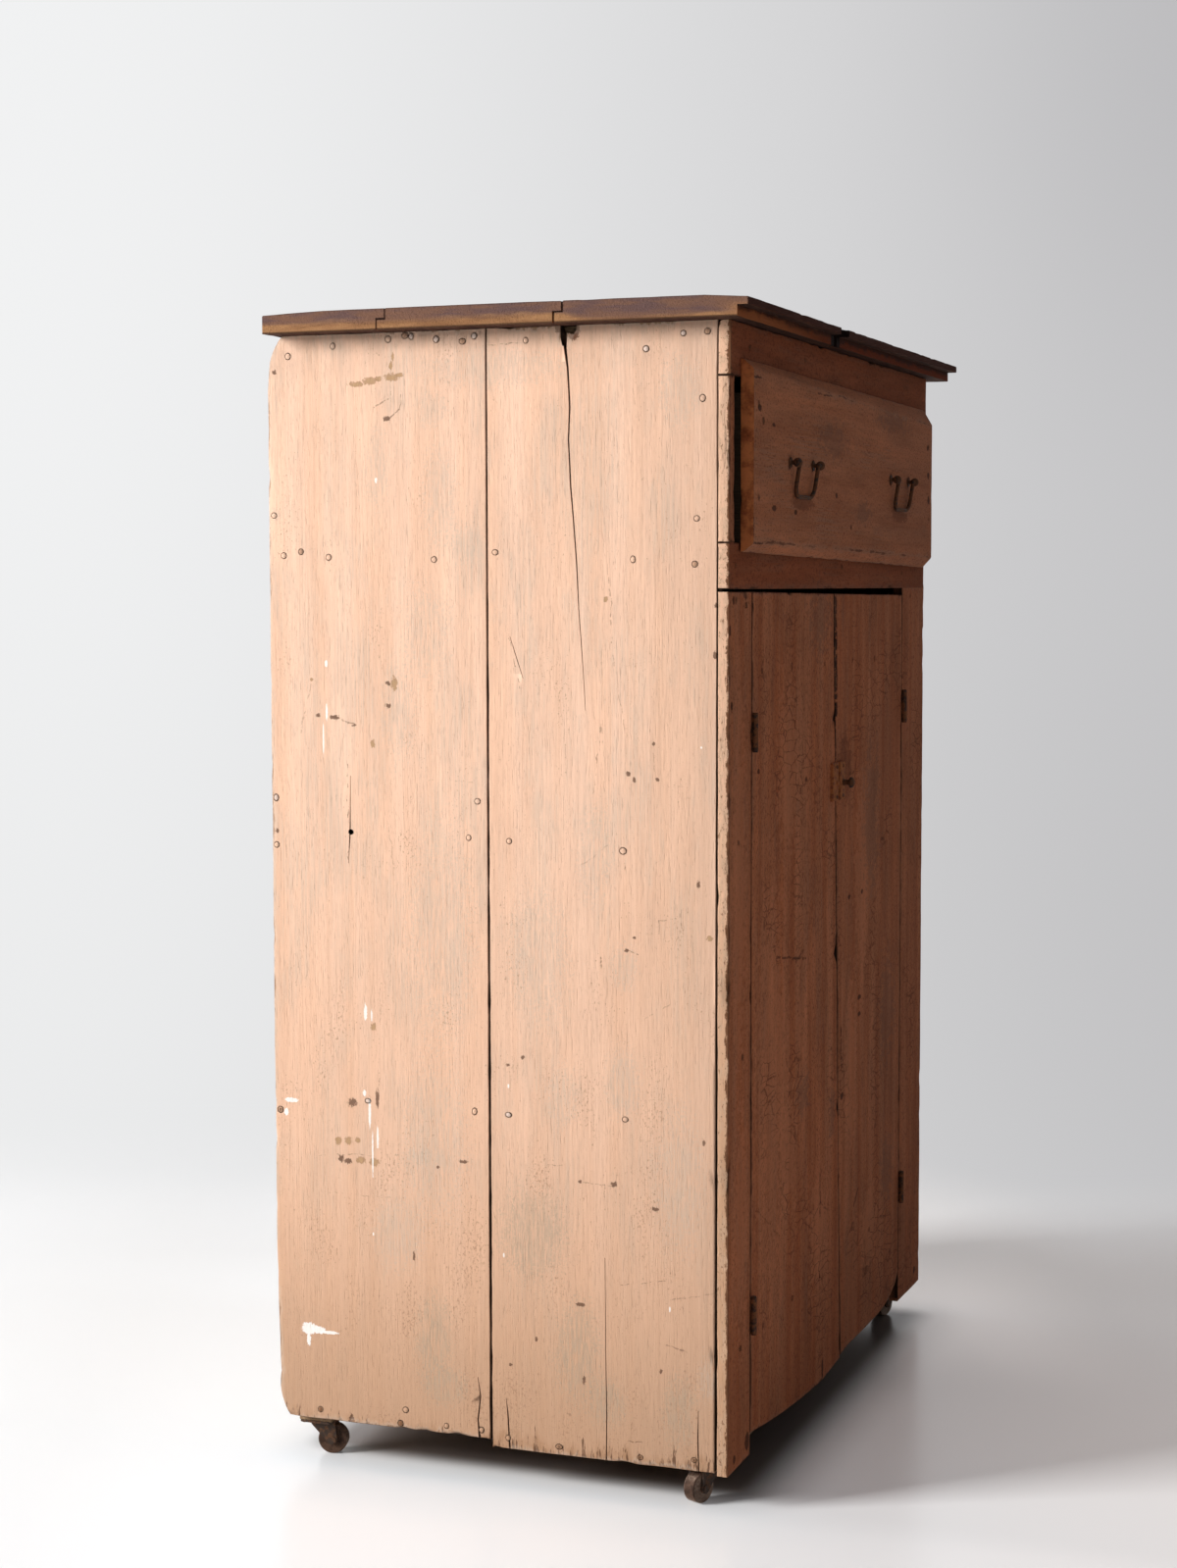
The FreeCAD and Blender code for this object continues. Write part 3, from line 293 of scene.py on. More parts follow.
def paint_group():
    tree, given, out = new_group("old_paint",
                                 [("Vector", "Vector", None), ("Paint", "Color", None),
                                  ("Faded", "Color", None), ("Grey", "Color", None),
                                  ("Fleck", "Color", None), ("Clouding", "Float", 0.5),
                                  ("Flecking", "Float", 0.5), ("Specks", "Float", 0.3),
                                  ("Speck Level", "Float", 0.6), ("Patches", "Float", 0.15),
                                  ("Brushing", "Float", 0.3)],
                                 [("Color", "Color"), ("Height", "Float"), ("Clouds", "Float")])
    vector = given["Vector"]
    grain = placed_group(tree, GRAIN, {"Vector": vector})
    cloud = mask(tree, clouds(tree, stretched(tree, vector, 0.017, 0.0065, 2.0), 6.0, 0.68), 0.45, 0.64)
    brush = calc(tree, "SUBTRACT", clouds(tree, stretched(tree, vector, 0.26, 0.022, 27.0), 5.0, 0.7), 0.5)
    color = mixed(tree, mask(tree, grain["Bands"], 0.3, 0.7), given["Paint"], given["Faded"])
    patch = clouds(tree, stretched(tree, vector, 0.035, 0.006, 15.0), 3.0, 0.55)
    level = swayed(tree, 1.0, patch, times(tree, given["Patches"], 4.0))
    level = calc(tree, "MULTIPLY_ADD", brush, given["Brushing"], level)
    color = mixed(tree, 1.0, color, level, "MULTIPLY")
    strokes = calc(tree, "MULTIPLY_ADD", mask(tree, grain["Fibre"], 0.40, 0.60), 0.75, 0.25)
    share = times(tree, times(tree, cloud, strokes), given["Clouding"])
    color = mixed(tree, share, color, given["Grey"])
    flecks = times(tree, grain["Pores"], calc(tree, "MULTIPLY_ADD", cloud, 0.7, 0.3))
    lines = times(tree, grain["Figure"], times(tree, cloud, 0.22))
    dark = times(tree, calc(tree, "MAXIMUM", flecks, lines), given["Flecking"])
    color = mixed(tree, dark, color, given["Fleck"])
    dirt = mask(tree, clouds(tree, stretched(tree, vector, 0.34, 0.22, 21.0), 4.0, 0.72),
                given["Speck Level"], calc(tree, "ADD", given["Speck Level"], 0.11))
    color = stained(tree, color, dirt, given["Specks"], given["Fleck"])
    height = calc(tree, "MULTIPLY_ADD", grain["Fibre"], 0.45, times(tree, grain["Bands"], 0.3))
    height = calc(tree, "MULTIPLY_ADD", brush, 0.9, height)
    height = calc(tree, "MULTIPLY_ADD", grain["Pores"], -0.3, height)
    height = calc(tree, "MULTIPLY_ADD", dirt, -0.25, height)
    tree.links.new(color, out["Color"])
    tree.links.new(height, out["Height"])
    tree.links.new(cloud, out["Clouds"])
    return tree


PAINT = paint_group()

# %% [markdown]
# ## Spots and scratches
# Single marks are placed by their measured position on the case. A spot is a ragged ellipse with a
# softer rim and a core; a scratch is the distance to a line that wanders a little. The noise that
# makes them ragged and broken is made once for a whole board and handed to every mark.

# %% Mark groups


def spot_group():
    tree, given, out = new_group("spot",
                                 [("Vector", "Vector", None), ("Middle", "Vector", None),
                                  ("Half Size", "Vector", None), ("Rough", "Float", 0.5),
                                  ("Ragged", "Float", 0.9)],
                                 [("Mask", "Float"), ("Core", "Float"), ("Crisp", "Float")])
    away = vector_calc(tree, "SUBTRACT", given["Vector"], given["Middle"])
    away = vector_calc(tree, "DIVIDE", away, given["Half Size"])
    reach = measure(tree, "LENGTH", away)
    reach = swayed(tree, reach, given["Rough"], given["Ragged"])
    tree.links.new(mask(tree, reach, 1.05, 0.75), out["Mask"])
    tree.links.new(mask(tree, reach, 0.75, 0.35), out["Core"])
    tree.links.new(mask(tree, reach, 1.0, 0.92), out["Crisp"])
    return tree


def scratch_group():
    tree, given, out = new_group("scratch",
                                 [("Vector", "Vector", None), ("Start", "Vector", None),
                                  ("End", "Vector", None), ("Width", "Float", 1.0)], [("Mask", "Float")])
    along = vector_calc(tree, "SUBTRACT", given["End"], given["Start"])
    here = vector_calc(tree, "SUBTRACT", given["Vector"], given["Start"])
    dot = measure(tree, "DOT_PRODUCT", here, along)
    length = measure(tree, "DOT_PRODUCT", along, along)
    share = add(tree, "Clamp", {"Value": calc(tree, "DIVIDE", dot, length)}).outputs[0]
    gap = measure(tree, "DISTANCE", here, scaled(tree, along, share))
    tree.links.new(mask(tree, calc(tree, "DIVIDE", gap, given["Width"]), 1.0, 0.35), out["Mask"])
    return tree


SPOT = spot_group()
SCRATCH = scratch_group()

# %% [markdown]
# ## From object coordinates to grain coordinates
# All finishes read Object coordinates, so they stay put when a door opens. They are turned into
# millimetres on the case, shifted for each board so that neighbours differ, and swapped round so
# that the grain runs along Z.

# %% Coordinates for a finish


def case_millimetres(tree):
    coords = add(tree, "TexCoord").outputs["Object"]
    return vector_calc(tree, "MULTIPLY_ADD", coords, (1000.0, 1000.0, 1000.0), CASE_ORIGIN)


def along_grain(tree, millimetres, axis):
    board = attribute(tree, "board")
    split = parts(tree, millimetres)
    order = {"X": (2, 1, 0), "Y": (0, 2, 1), "Z": (0, 1, 2)}[axis]
    turned = joined(tree, {i: split[k] for i, k in enumerate(order)})
    return vector_calc(tree, "ADD", turned, scaled(tree, (311.0, 173.0, 977.0), board))


def new_material(name, gloss=0.2):
    material = bpy.data.materials.new(name)
    material.use_nodes = True
    tree = material.node_tree
    tree.nodes.clear()
    shader = add(tree, "BsdfPrincipled", {"Specular IOR Level": gloss})
    output = add(tree, "OutputMaterial", {"Surface": shader.outputs[0]})
    return material, tree, shader, output


def dress_shader(tree, shader, color, roughness, height, depth, strength=1.0):
    tree.links.new(color, shader.inputs["Base Color"])
    tree.links.new(roughness, shader.inputs["Roughness"])
    bump = add(tree, "Bump", {"Height": height, "Distance": depth, "Strength": strength})
    tree.links.new(bump.outputs[0], shader.inputs["Normal"])


def rgb(red, green, blue):
    return (red, green, blue, 1.0)


# %% [markdown]
# ## Marks on the painted boards
# The pale side catches the light, so its marks count: chips that show tan wood with a brown rim,
# dark knocks, white splashes of later paint, grey rubbed clouds and thin scratches. Painted shade
# and grime darken the side under the top, and painted light falloff and dirt towards its foot. The
# front has grey smudges, warm streaks, dark knocks, scratches and fine crazing of its own. Painted
# shade and dirt darken the front towards its right end and its foot, a painted shadow lies under the
# top's lip, and painted shade and grime darken a band along the doors' meeting seam. Every mark has
# its place in millimetres.

# %% Side marks (y, z, half width, half height) and scratches

SIDE_CHIPS = [(392, 1106, 10, 3), (377, 1109, 9, 4.2), (367, 1111, 4, 2.8), (352, 1112, 9, 4.2),
              (343, 1114, 4, 2.8), (353, 1124, 2.2, 5), (351, 1133, 1.6, 5), (352, 797, 4, 8),
              (377, 734, 3, 4.6), (447, 800, 2, 2), (118, 884, 3, 3), (421, 312, 4.2, 4.8),
              (409, 313, 4.6, 4.6), (398, 314, 3.4, 3.2), (395, 293, 6, 4.0), (379, 292, 6, 4.8),
              (8, 546, 3.6, 3), (379, 436, 3.4, 4.6)]
SIDE_KNOCKS = [(359, 797, 3, 2.2), (359, 774, 3.4, 2.6), (421, 761, 5.5, 2.6), (440, 763, 3, 2),
               (398, 753, 2.6, 1.4), (487, 1121, 2.6, 2.6), (358, 1070, 4.4, 2.8), (404, 354, 5.6, 4.6),
               (418, 293, 3, 4), (410, 291, 5.2, 3), (375, 360, 2.2, 11), (94, 709, 2.6, 2.6),
               (88, 703, 2, 2.8), (67, 740, 1.8, 2.2), (63, 704, 2.2, 1.8), (88, 543, 2, 1.6),
               (96, 530, 2.4, 2), (66, 267, 4.8, 2), (210, 414, 2.2, 2.2), (226, 405, 1.8, 1.6),
               (14, 339, 1.6, 3.2), (147, 289, 2, 1.8), (110, 289, 3.8, 3), (147, 161, 5.8, 2.2),
               (143, 82, 2, 4.4), (334, 195, 1.6, 5.5), (445, 19, 2, 2), (408, 14, 3, 3),
               (351, 14, 2.4, 3.2), (2, 878, 1.8, 2.8), (3, 829, 2.2, 4), (277, 300, 6, 1.8),
               (225, 90, 2, 2), (20, 600, 2, 4), (489, 640, 2, 3), (409, 9, 3.4, 7), (306, 292, 2.2, 1.6),
               (60, 100, 1.8, 2.4), (196, 120, 1.6, 3)]
BROKEN_EDGE = [(152, 1153, 7, 11), (168, 1156, 4, 6)]
SIDE_SPLASHES = [(371, 1007, 1.5, 3.0), (430, 817, 1.6, 4), (430, 766, 1.2, 9), (434, 737, 0.8, 18),
                 (388, 451, 1.8, 9), (381, 448, 1.1, 6), (390, 365, 2.0, 3.6), (384, 344, 1.5, 15),
                 (381, 300, 0.9, 25), (375, 318, 1.2, 12), (476, 352, 8, 2.6), (482, 339, 2.8, 4),
                 (457, 106, 9.5, 6.5), (446, 105, 8, 4.2), (434, 103.5, 11, 2), (458, 94, 2.4, 7.5),
                 (232, 205, 1.0, 2.6), (381, 215, 0.9, 1.6), (50, 165, 0.8, 3), (226, 383, 1.0, 2.4),
                 (17, 737, 0.8, 1.2)]
SIDE_CLOUDS = [(269, 940, 30, 34), (488, 972, 10, 16), (6, 98, 22, 40), (166, 375, 30, 50),
               (352, 217, 46, 60), (322, 301, 30, 16), (130, 626, 30, 80), (370, 1019, 22, 66),
               (307, 1079, 26, 30), (99, 512, 22, 40), (347, 764, 30, 80), (100, 392, 30, 60),
               (40, 1090, 34, 60), (300, 990, 30, 90), (300, 540, 60, 180), (310, 320, 60, 130),
               (240, 1118, 130, 30), (316, 850, 46, 80), (190, 520, 50, 110), (40, 300, 40, 120)]
FOOT_CLOUDS = [(312, 110, 34, 80), (300, 60, 44, 34), (150, 110, 40, 90), (118, 60, 34, 40),
               (200, 230, 60, 80), (40, 60, 30, 60)]
SIDE_SCRATCHES = [((374, 1142), (354, 1121), 0.8, 0.6), ((354, 1108), (354, 1087), 0.8, 0.45),
                  ((373, 1081), (357, 1090), 1.1, 0.6), ((358, 1069), (344, 1078), 1.2, 0.7),
                  ((344, 1078), (342, 1094), 0.9, 0.55), ((448, 796), (461, 743), 1.0, 0.35),
                  ((426, 763), (397, 753), 1.1, 0.6), ((407, 712), (406, 650), 0.8, 0.75),
                  ((405, 637), (407, 612), 0.8, 0.6), ((359, 648), (353, 591), 1.3, 0.3),
                  ((289, 698), (265, 696), 1.0, 0.25), ((114, 915), (113, 841), 1.0, 0.5),
                  ((113, 841), (98, 750), 0.8, 0.45), ((224, 849), (209, 782), 0.7, 0.75),
                  ((123, 767), (123, 737), 0.8, 0.4), ((124, 755), (132, 683), 0.7, 0.6),
                  ((146, 615), (112, 639), 0.8, 0.3), ((99, 618), (99, 609), 1.0, 0.7),
                  ((124, 522), (123, 510), 1.1, 0.75), ((71, 758), (66, 705), 0.7, 0.45),
                  ((96, 758), (95, 739), 0.8, 0.4), ((61, 548), (61, 561), 0.7, 0.5),
                  ((61, 561), (39, 564), 0.7, 0.5), ((39, 570), (38, 555), 0.8, 0.5),
                  ((97, 530), (84, 527), 0.9, 0.6), ((104, 184), (53, 194), 0.7, 0.7),
                  ((55, 128), (33, 124), 1.3, 0.6), ((115, 24), (78, 23), 0.9, 0.75),
                  ((444, 295), (380, 299), 0.7, 0.5), ((444, 255), (361, 255), 0.6, 0.45),
                  ((148, 289), (110, 288), 0.7, 0.55), ((122, 300), (119, 262), 0.7, 0.5),
                  ((196, 303), (159, 306), 0.7, 0.45), ((76, 462), (42, 481), 0.8, 0.35),
                  ((49, 175), (1, 187), 0.9, 0.5), ((370, 478), (374, 371), 0.6, 0.6),
                  ((246, 266), (237, 224), 0.8, 0.4), ((250, 1140), (205, 1143), 1.0, 0.6)]

# %% Front marks (x, z, half width, half height) and scratches

# The patch at x 10, z 1194 is painted shadow under the top's lip; the rest are dark knocks, holes and
# stains.
FRONT_KNOCKS_AND_LIP_SHADOW = [(13, 883, 4, 5), (52, 888, 6, 5), (2, 853, 3, 6), (7, 778, 4, 6), (507, 414, 8, 3),
                (508, 394, 7, 3), (460, 538, 6, 3), (517, 538, 5, 3), (99, 707, 5, 3), (277, 687, 5, 3),
                (432, 310, 7, 5), (353, 10, 4, 14), (48, 1074, 7, 4), (99, 976, 8, 3.5), (177, 974, 6, 3),
                (337, 996, 5, 3), (766, 1068, 6, 4), (770, 1034, 6, 5), (771, 1004, 6, 5),
                (96, 1060, 5, 2.5), (20, 10, 5, 5), (64, 16, 8, 10), (790, 18, 6, 5), (10, 1194, 16, 4),
                (66, 1188, 4, 3.4), (147, 1191, 4, 3), (351, 1187, 5, 3.4), (506, 1182, 5, 3.4),
                (668, 1186, 5, 3.4), (156, 1024, 8, 7), (243, 1024, 8, 7), (579, 1022, 8, 7),
                (666, 1022, 8, 7), (386, 660, 5, 4), (386, 693, 5, 4)]
FRONT_CLOUDS = [(270, 340, 40, 40), (390, 300, 22, 50), (560, 620, 60, 150), (640, 380, 60, 110),
                (330, 860, 70, 60), (324, 1055, 90, 30), (590, 1090, 120, 20), (640, 180, 50, 70),
                (450, 980, 60, 20)]
FRONT_GLOWS = [(34, 600, 40, 300), (150, 380, 90, 330), (210, 700, 70, 150), (40, 250, 40, 180),
               (520, 560, 60, 180), (470, 330, 40, 160), (330, 170, 60, 120), (560, 130, 60, 80),
               (210, 290, 60, 110)]
FRONT_RUBS = [(200, 984, 44, 8), (622, 980, 44, 8), (440, 690, 26, 40)]
# The two wide bands beside the doors' meeting seam, at x 393 to 400, are painted shade and grime; the rest
# are scratches and dark joint lines.
FRONT_SCRATCHES_AND_SEAM_SHADE = [((163, 506), (280, 490), 2.0, 0.7), ((240, 492), (268, 500), 3.0, 0.5),
                   ((340, 238), (341, 189), 2.5, 0.7), ((341, 205), (310, 192), 2.0, 0.5),
                   ((341, 205), (372, 190), 2.0, 0.5), ((508, 186), (488, 168), 3.0, 0.6),
                   ((260, 1103), (319, 1103), 1.6, 0.8), ((393, 889), (399, 753), 7.5, 1.0),
                   ((396, 760), (400, 702), 3.0, 0.9), ((0, 1104), (54, 1104), 1.6, 1.0),
                   ((0, 940), (60, 940), 1.6, 1.0), ((0, 894), (80, 894), 1.8, 1.0),
                   ((426, 395), (430, 342), 2.4, 0.9), ((98, 250), (180, 205), 1.6, 0.3),
                   ((180, 240), (250, 180), 1.6, 0.3)]

# %% Placing the marks


def spots_on(tree, color, spots, stain, core, millimetres, rough, plane, strength, ragged=0.9, rim="Mask"):
    for u, v, half_u, half_v in spots:
        middle, half = plane(u, v, half_u, half_v)
        found = placed_group(tree, SPOT, {"Vector": millimetres, "Middle": middle, "Half Size": half,
                                          "Rough": rough, "Ragged": ragged})
        color = stained(tree, color, found[rim], strength, stain)
        if core:
            color = stained(tree, color, found["Core"], 0.85, core)
    return color


def scratches_on(tree, color, scratches, stain, point, broken, plane):
    for start, end, width, strength in scratches:
        found = placed_group(tree, SCRATCH, {"Vector": point, "Start": plane(*start, 1, 1)[0],
                                             "End": plane(*end, 1, 1)[0], "Width": width})["Mask"]
        color = stained(tree, color, times(tree, found, strength), broken, stain)
    return color


def on_side(y, z, half_y, half_z):
    return (0.0, y, z), (60.0, half_y, half_z)


def on_front(x, z, half_x, half_z):
    return (x, -12.0, z), (half_x, 60.0, half_z)


def wandering(tree, millimetres):
    wander = add(tree, "TexNoise", {"Vector": millimetres, "Scale": 0.05, "Detail": 4.0, "Roughness": 0.6})
    wander = vector_calc(tree, "SUBTRACT", wander.outputs["Color"], (0.5, 0.5, 0.5))
    return vector_calc(tree, "MULTIPLY_ADD", wander, (9.0, 9.0, 9.0), millimetres)


def side_marks(tree, color, millimetres):
    split = parts(tree, millimetres)
    flat = joined(tree, {1: split[1], 2: split[2]})
    rough = clouds(tree, stretched(tree, flat, 0.42, 0.32), 5.0, 0.72)
    broken = mask(tree, clouds(tree, stretched(tree, flat, 0.24, 0.24, 31.0), 3.0, 0.6), 0.38, 0.52)
    streaks = mask(tree, clouds(tree, stretched(tree, flat, 0.40, 0.045, 12.0), 4.0, 0.7), 0.38, 0.58)
    point = wandering(tree, flat)
    color = side_shade_and_ageing(tree, color, flat, split)
    plain = color
    clouded = spots_on(tree, color, SIDE_CLOUDS, rgb(0.52, 0.42, 0.33), None, flat, rough, on_side,
                       strength=0.42, ragged=2.4, rim="Core")
    clouded = spots_on(tree, clouded, FOOT_CLOUDS, rgb(0.40, 0.31, 0.22), None, flat, rough, on_side,
                       strength=0.55, ragged=2.4, rim="Core")
    color = mixed(tree, streaks, color, clouded)
    color = scratches_on(tree, color, SIDE_SCRATCHES, rgb(0.17, 0.09, 0.05), point, broken, on_side)
    color = spots_on(tree, color, SIDE_KNOCKS, rgb(0.12, 0.055, 0.03), None, flat, rough, on_side,
                     strength=0.85, ragged=3.2)
    color = spots_on(tree, color, BROKEN_EDGE, rgb(0.17, 0.062, 0.028), None, flat, rough, on_side,
                     strength=0.95, ragged=1.6)
    color = spots_on(tree, color, SIDE_CHIPS, rgb(0.36, 0.20, 0.10), rgb(0.47, 0.29, 0.15), flat, rough,
                     on_side, strength=0.8, ragged=2.6)
    color = spots_on(tree, color, SIDE_SPLASHES, rgb(0.93, 0.89, 0.84), None, flat, rough, on_side,
                     strength=0.88, ragged=1.7, rim="Crisp")
    left = mask(tree, split[0], 60.0, 20.0)
    return mixed(tree, left, plain, color)


def side_shade_and_ageing(tree, color, flat, split):
    """Darker, browner: painted shade and grime under the top, painted light falloff and dirt to the foot,
    and at the front edge.
    """
    rough = clouds(tree, stretched(tree, flat, 0.05, 0.03), 6.0, 0.65)
    # Painted shade under the top's overhang, mixed with grime.
    high = times(tree, mask(tree, split[2], 1098.0, 1162.0), mask(tree, rough, 0.25, 0.7))
    color = stained(tree, color, high, 0.42, rgb(0.33, 0.24, 0.18))
    # Painted light falloff mixed with dirt: darker and browner towards the foot.
    color = stained(tree, color, mask(tree, split[2], 760.0, 300.0), 0.26, rgb(0.60, 0.345, 0.21))
    color = stained(tree, color, mask(tree, split[2], 400.0, -20.0), 0.72, rgb(0.50, 0.285, 0.165))
    color = stained(tree, color, mask(tree, split[2], 190.0, 0.0), 0.26, rgb(0.33, 0.21, 0.13))
    color = stained(tree, color, mask(tree, split[1], 120.0, -10.0), 0.30, rgb(0.52, 0.32, 0.21))
    foot = calc(tree, "SUBTRACT", rough, times(tree, split[2], 0.012))
    color = stained(tree, color, mask(tree, foot, 0.28, 0.62), 0.6, rgb(0.34, 0.17, 0.08))
    slow = clouds(tree, stretched(tree, flat, 0.02, 0.012, 71.0), 3.0)
    speck = clouds(tree, stretched(tree, flat, 0.40, 0.26, 61.0), 3.0, 0.7)
    speck = calc(tree, "MULTIPLY_ADD", slow, 0.5, speck)
    speck = calc(tree, "MULTIPLY_ADD", mask(tree, split[2], 800.0, 100.0), 0.05, speck)
    color = stained(tree, color, mask(tree, speck, 0.92, 0.98), 0.55, rgb(0.30, 0.16, 0.09))
    nick = clouds(tree, stretched(tree, flat, 0.15, 0.022, 40.0), 4.0, 0.75)
    nick = calc(tree, "SUBTRACT", nick, times(tree, split[2], 0.0062))
    return stained(tree, color, mask(tree, nick, 0.49, 0.54), 0.85, rgb(0.11, 0.05, 0.025))


def front_marks(tree, color, millimetres):
    split = parts(tree, millimetres)
    flat = joined(tree, {0: split[0], 1: -12.0, 2: split[2]})
    rough = clouds(tree, stretched(tree, flat, 0.12, 0.16), 5.0, 0.65)
    broken = mask(tree, clouds(tree, stretched(tree, flat, 0.16, 0.2, 31.0), 3.0, 0.6), 0.36, 0.5)
    point = wandering(tree, flat)
    # Painted shade and dirt: darker towards the right end and towards the foot.
    color = stained(tree, color, mask(tree, split[0], 260.0, 800.0), 0.26, rgb(0.16, 0.055, 0.03))
    color = stained(tree, color, mask(tree, split[2], 210.0, -20.0), 0.30, rgb(0.15, 0.05, 0.022))
    color = spots_on(tree, color, FRONT_GLOWS, rgb(0.74, 0.27, 0.13), None, flat, rough, on_front,
                     strength=0.38, ragged=2.2, rim="Core")
    color = spots_on(tree, color, FRONT_CLOUDS, rgb(0.20, 0.105, 0.07), None, flat, rough, on_front,
                     strength=0.42, ragged=2.4, rim="Core")
    color = spots_on(tree, color, FRONT_RUBS, rgb(0.12, 0.034, 0.015), None, flat, rough, on_front,
                     strength=0.45, ragged=2.0)
    wide = vector_calc(tree, "MULTIPLY", point, (0.030, 0.0, 0.085))
    cells = add(tree, "TexVoronoi", {"Vector": wide, "Scale": 1.0},
                feature="DISTANCE_TO_EDGE").outputs["Distance"]
    where = mask(tree, clouds(tree, stretched(tree, flat, 0.011, 0.006, 44.0), 3.0), 0.50, 0.62)
    where = times(tree, where, mask(tree, split[0], 84.0, 120.0))
    where = times(tree, where, mask(tree, split[2], 895.0, 850.0))
    crazed = times(tree, mask(tree, cells, 0.055, 0.015), times(tree, where, broken))
    color = stained(tree, color, crazed, 0.55, rgb(0.06, 0.02, 0.01))
    color = scratches_on(tree, color, FRONT_SCRATCHES_AND_SEAM_SHADE, rgb(0.030, 0.010, 0.006), point, broken, on_front)
    return spots_on(tree, color, FRONT_KNOCKS_AND_LIP_SHADOW, rgb(0.030, 0.010, 0.006), None, flat, rough, on_front,
                    strength=0.8, ragged=1.6)


# %% [markdown]
# ## The painted finishes
# One function makes each paint finish: skin, marks, edge wear, ends, nails, and last the painted shade
# and dirt in joints and cracks. A board's crevice attribute is 1 where its surface lies behind the face
# and next to a neighbour, and there painted shade and old dirt turn everything nearly black.

# %% Painted finishes


def nail_colors(tree, color):
    """Ring, stain and head colours from the attributes that the nails carry."""
    ring = attribute(tree, "nail_ring")
    bright = attribute(tree, "nail_bright")
    hole = attribute(tree, "nail_hole")
    rust = attribute(tree, "nail_rust")
    color = mixed(tree, rust, color, rgb(0.26, 0.12, 0.05))
    color = mixed(tree, bright, color, rgb(0.66, 0.60, 0.56))
    color = mixed(tree, ring, color, rgb(0.19, 0.10, 0.06))
    # A missing nail's hole is painted shade and dirt: the flat disc turns near black.
    return mixed(tree, hole, color, rgb(0.015, 0.008, 0.006))


def painted(name, axis, colors, bare, amounts, marks=None, reach=1.0, rough=0.65, ends=None, gloss=0.2):
    material, tree, shader = new_material(name, gloss)[:3]
    millimetres = case_millimetres(tree)
    vector = along_grain(tree, millimetres, axis)
    skin = placed_group(tree, PAINT, {"Vector": vector, "Paint": colors[0], "Faded": colors[1],
                                      "Grey": colors[2], "Fleck": colors[3], **amounts})
    color = skin["Color"]
    if marks:
        color = marks(tree, color, millimetres)
    wear = placed_group(tree, WEAR, {"Vector": vector, "Reach": reach})
    color = stained(tree, color, wear["Rubbed"], 0.35, colors[2])
    color = stained(tree, color, wear["Bare"], 0.85, bare)
    if ends:
        color = ends(tree, color, vector, millimetres)
    color = nail_colors(tree, color)
    # Painted shade and dirt: surfaces behind the face, in joints and cracks, turn nearly black.
    crevice_shade_and_dirt = attribute(tree, "crevice_shade_and_dirt")
    color = mixed(tree, crevice_shade_and_dirt, color, rgb(0.012, 0.006, 0.004))
    roughness = calc(tree, "MULTIPLY_ADD", skin["Clouds"], 0.14, rough)
    height = calc(tree, "MULTIPLY_ADD", wear["Bare"], -0.8, skin["Height"])
    dress_shader(tree, shader, color, roughness, height, 0.0006, 0.8)
    return material


def side_facing(tree):
    normal = add(tree, "NewGeometry").outputs["Normal"]
    split = parts(tree, normal)
    return mask(tree, calc(tree, "ABSOLUTE", split[0]), 0.55, 0.85)


def pale_ends(tree, color, vector, millimetres):
    """The front boards' outer edges keep the sides' paler paint, grey in patches, dark at the arris."""
    x, y, z = parts(tree, millimetres)
    half_case = CASE_WIDTH / 2
    outer = mask(tree, distance(tree, x, half_case), half_case - 4, half_case - 2)
    rough = clouds(tree, stretched(tree, vector, 0.11, 0.035, 4.0), 6.0, 0.68)
    fine = clouds(tree, stretched(tree, vector, 0.45, 0.22, 14.0), 4.0, 0.7)
    pale = mixed(tree, mask(tree, z, 900.0, 200.0), rgb(0.76, 0.47, 0.315), rgb(0.56, 0.33, 0.20))
    pale = stained(tree, pale, mask(tree, rough, 0.46, 0.60), 0.6, rgb(0.56, 0.37, 0.25))
    pale = mixed(tree, mask(tree, calc(tree, "ADD", fine, times(tree, rough, 0.5)), 0.84, 0.92), pale,
                 rgb(0.28, 0.15, 0.085))
    arris = swayed(tree, y, rough, 14.0)
    arris = swayed(tree, arris, fine, 6.0)
    pale = mixed(tree, mask(tree, arris, -8.8, -10.4), pale, rgb(0.16, 0.07, 0.035))
    for level in FRAME_LEVELS:
        away = distance(tree, calc(tree, "MULTIPLY_ADD", rough, 2.0, z), level + 1.0)
        pale = mixed(tree, mask(tree, away, 1.5, 0.8), pale, rgb(0.03, 0.014, 0.008))
    return stained(tree, color, side_facing(tree), outer, pale)


def bare_ends(tree, color, vector, millimetres):
    """The drawer front's end grain has lost its paint and is rubbed orange brown."""
    rough = clouds(tree, stretched(tree, vector, 0.045, 0.10, 4.0), 5.0, 0.7)
    brown = mixed(tree, mask(tree, rough, 0.40, 0.62), rgb(0.66, 0.205, 0.070), rgb(0.32, 0.088, 0.030))
    brown = mixed(tree, mask(tree, rough, 0.62, 0.70), brown, rgb(0.04, 0.016, 0.008))
    return mixed(tree, side_facing(tree), color, brown)


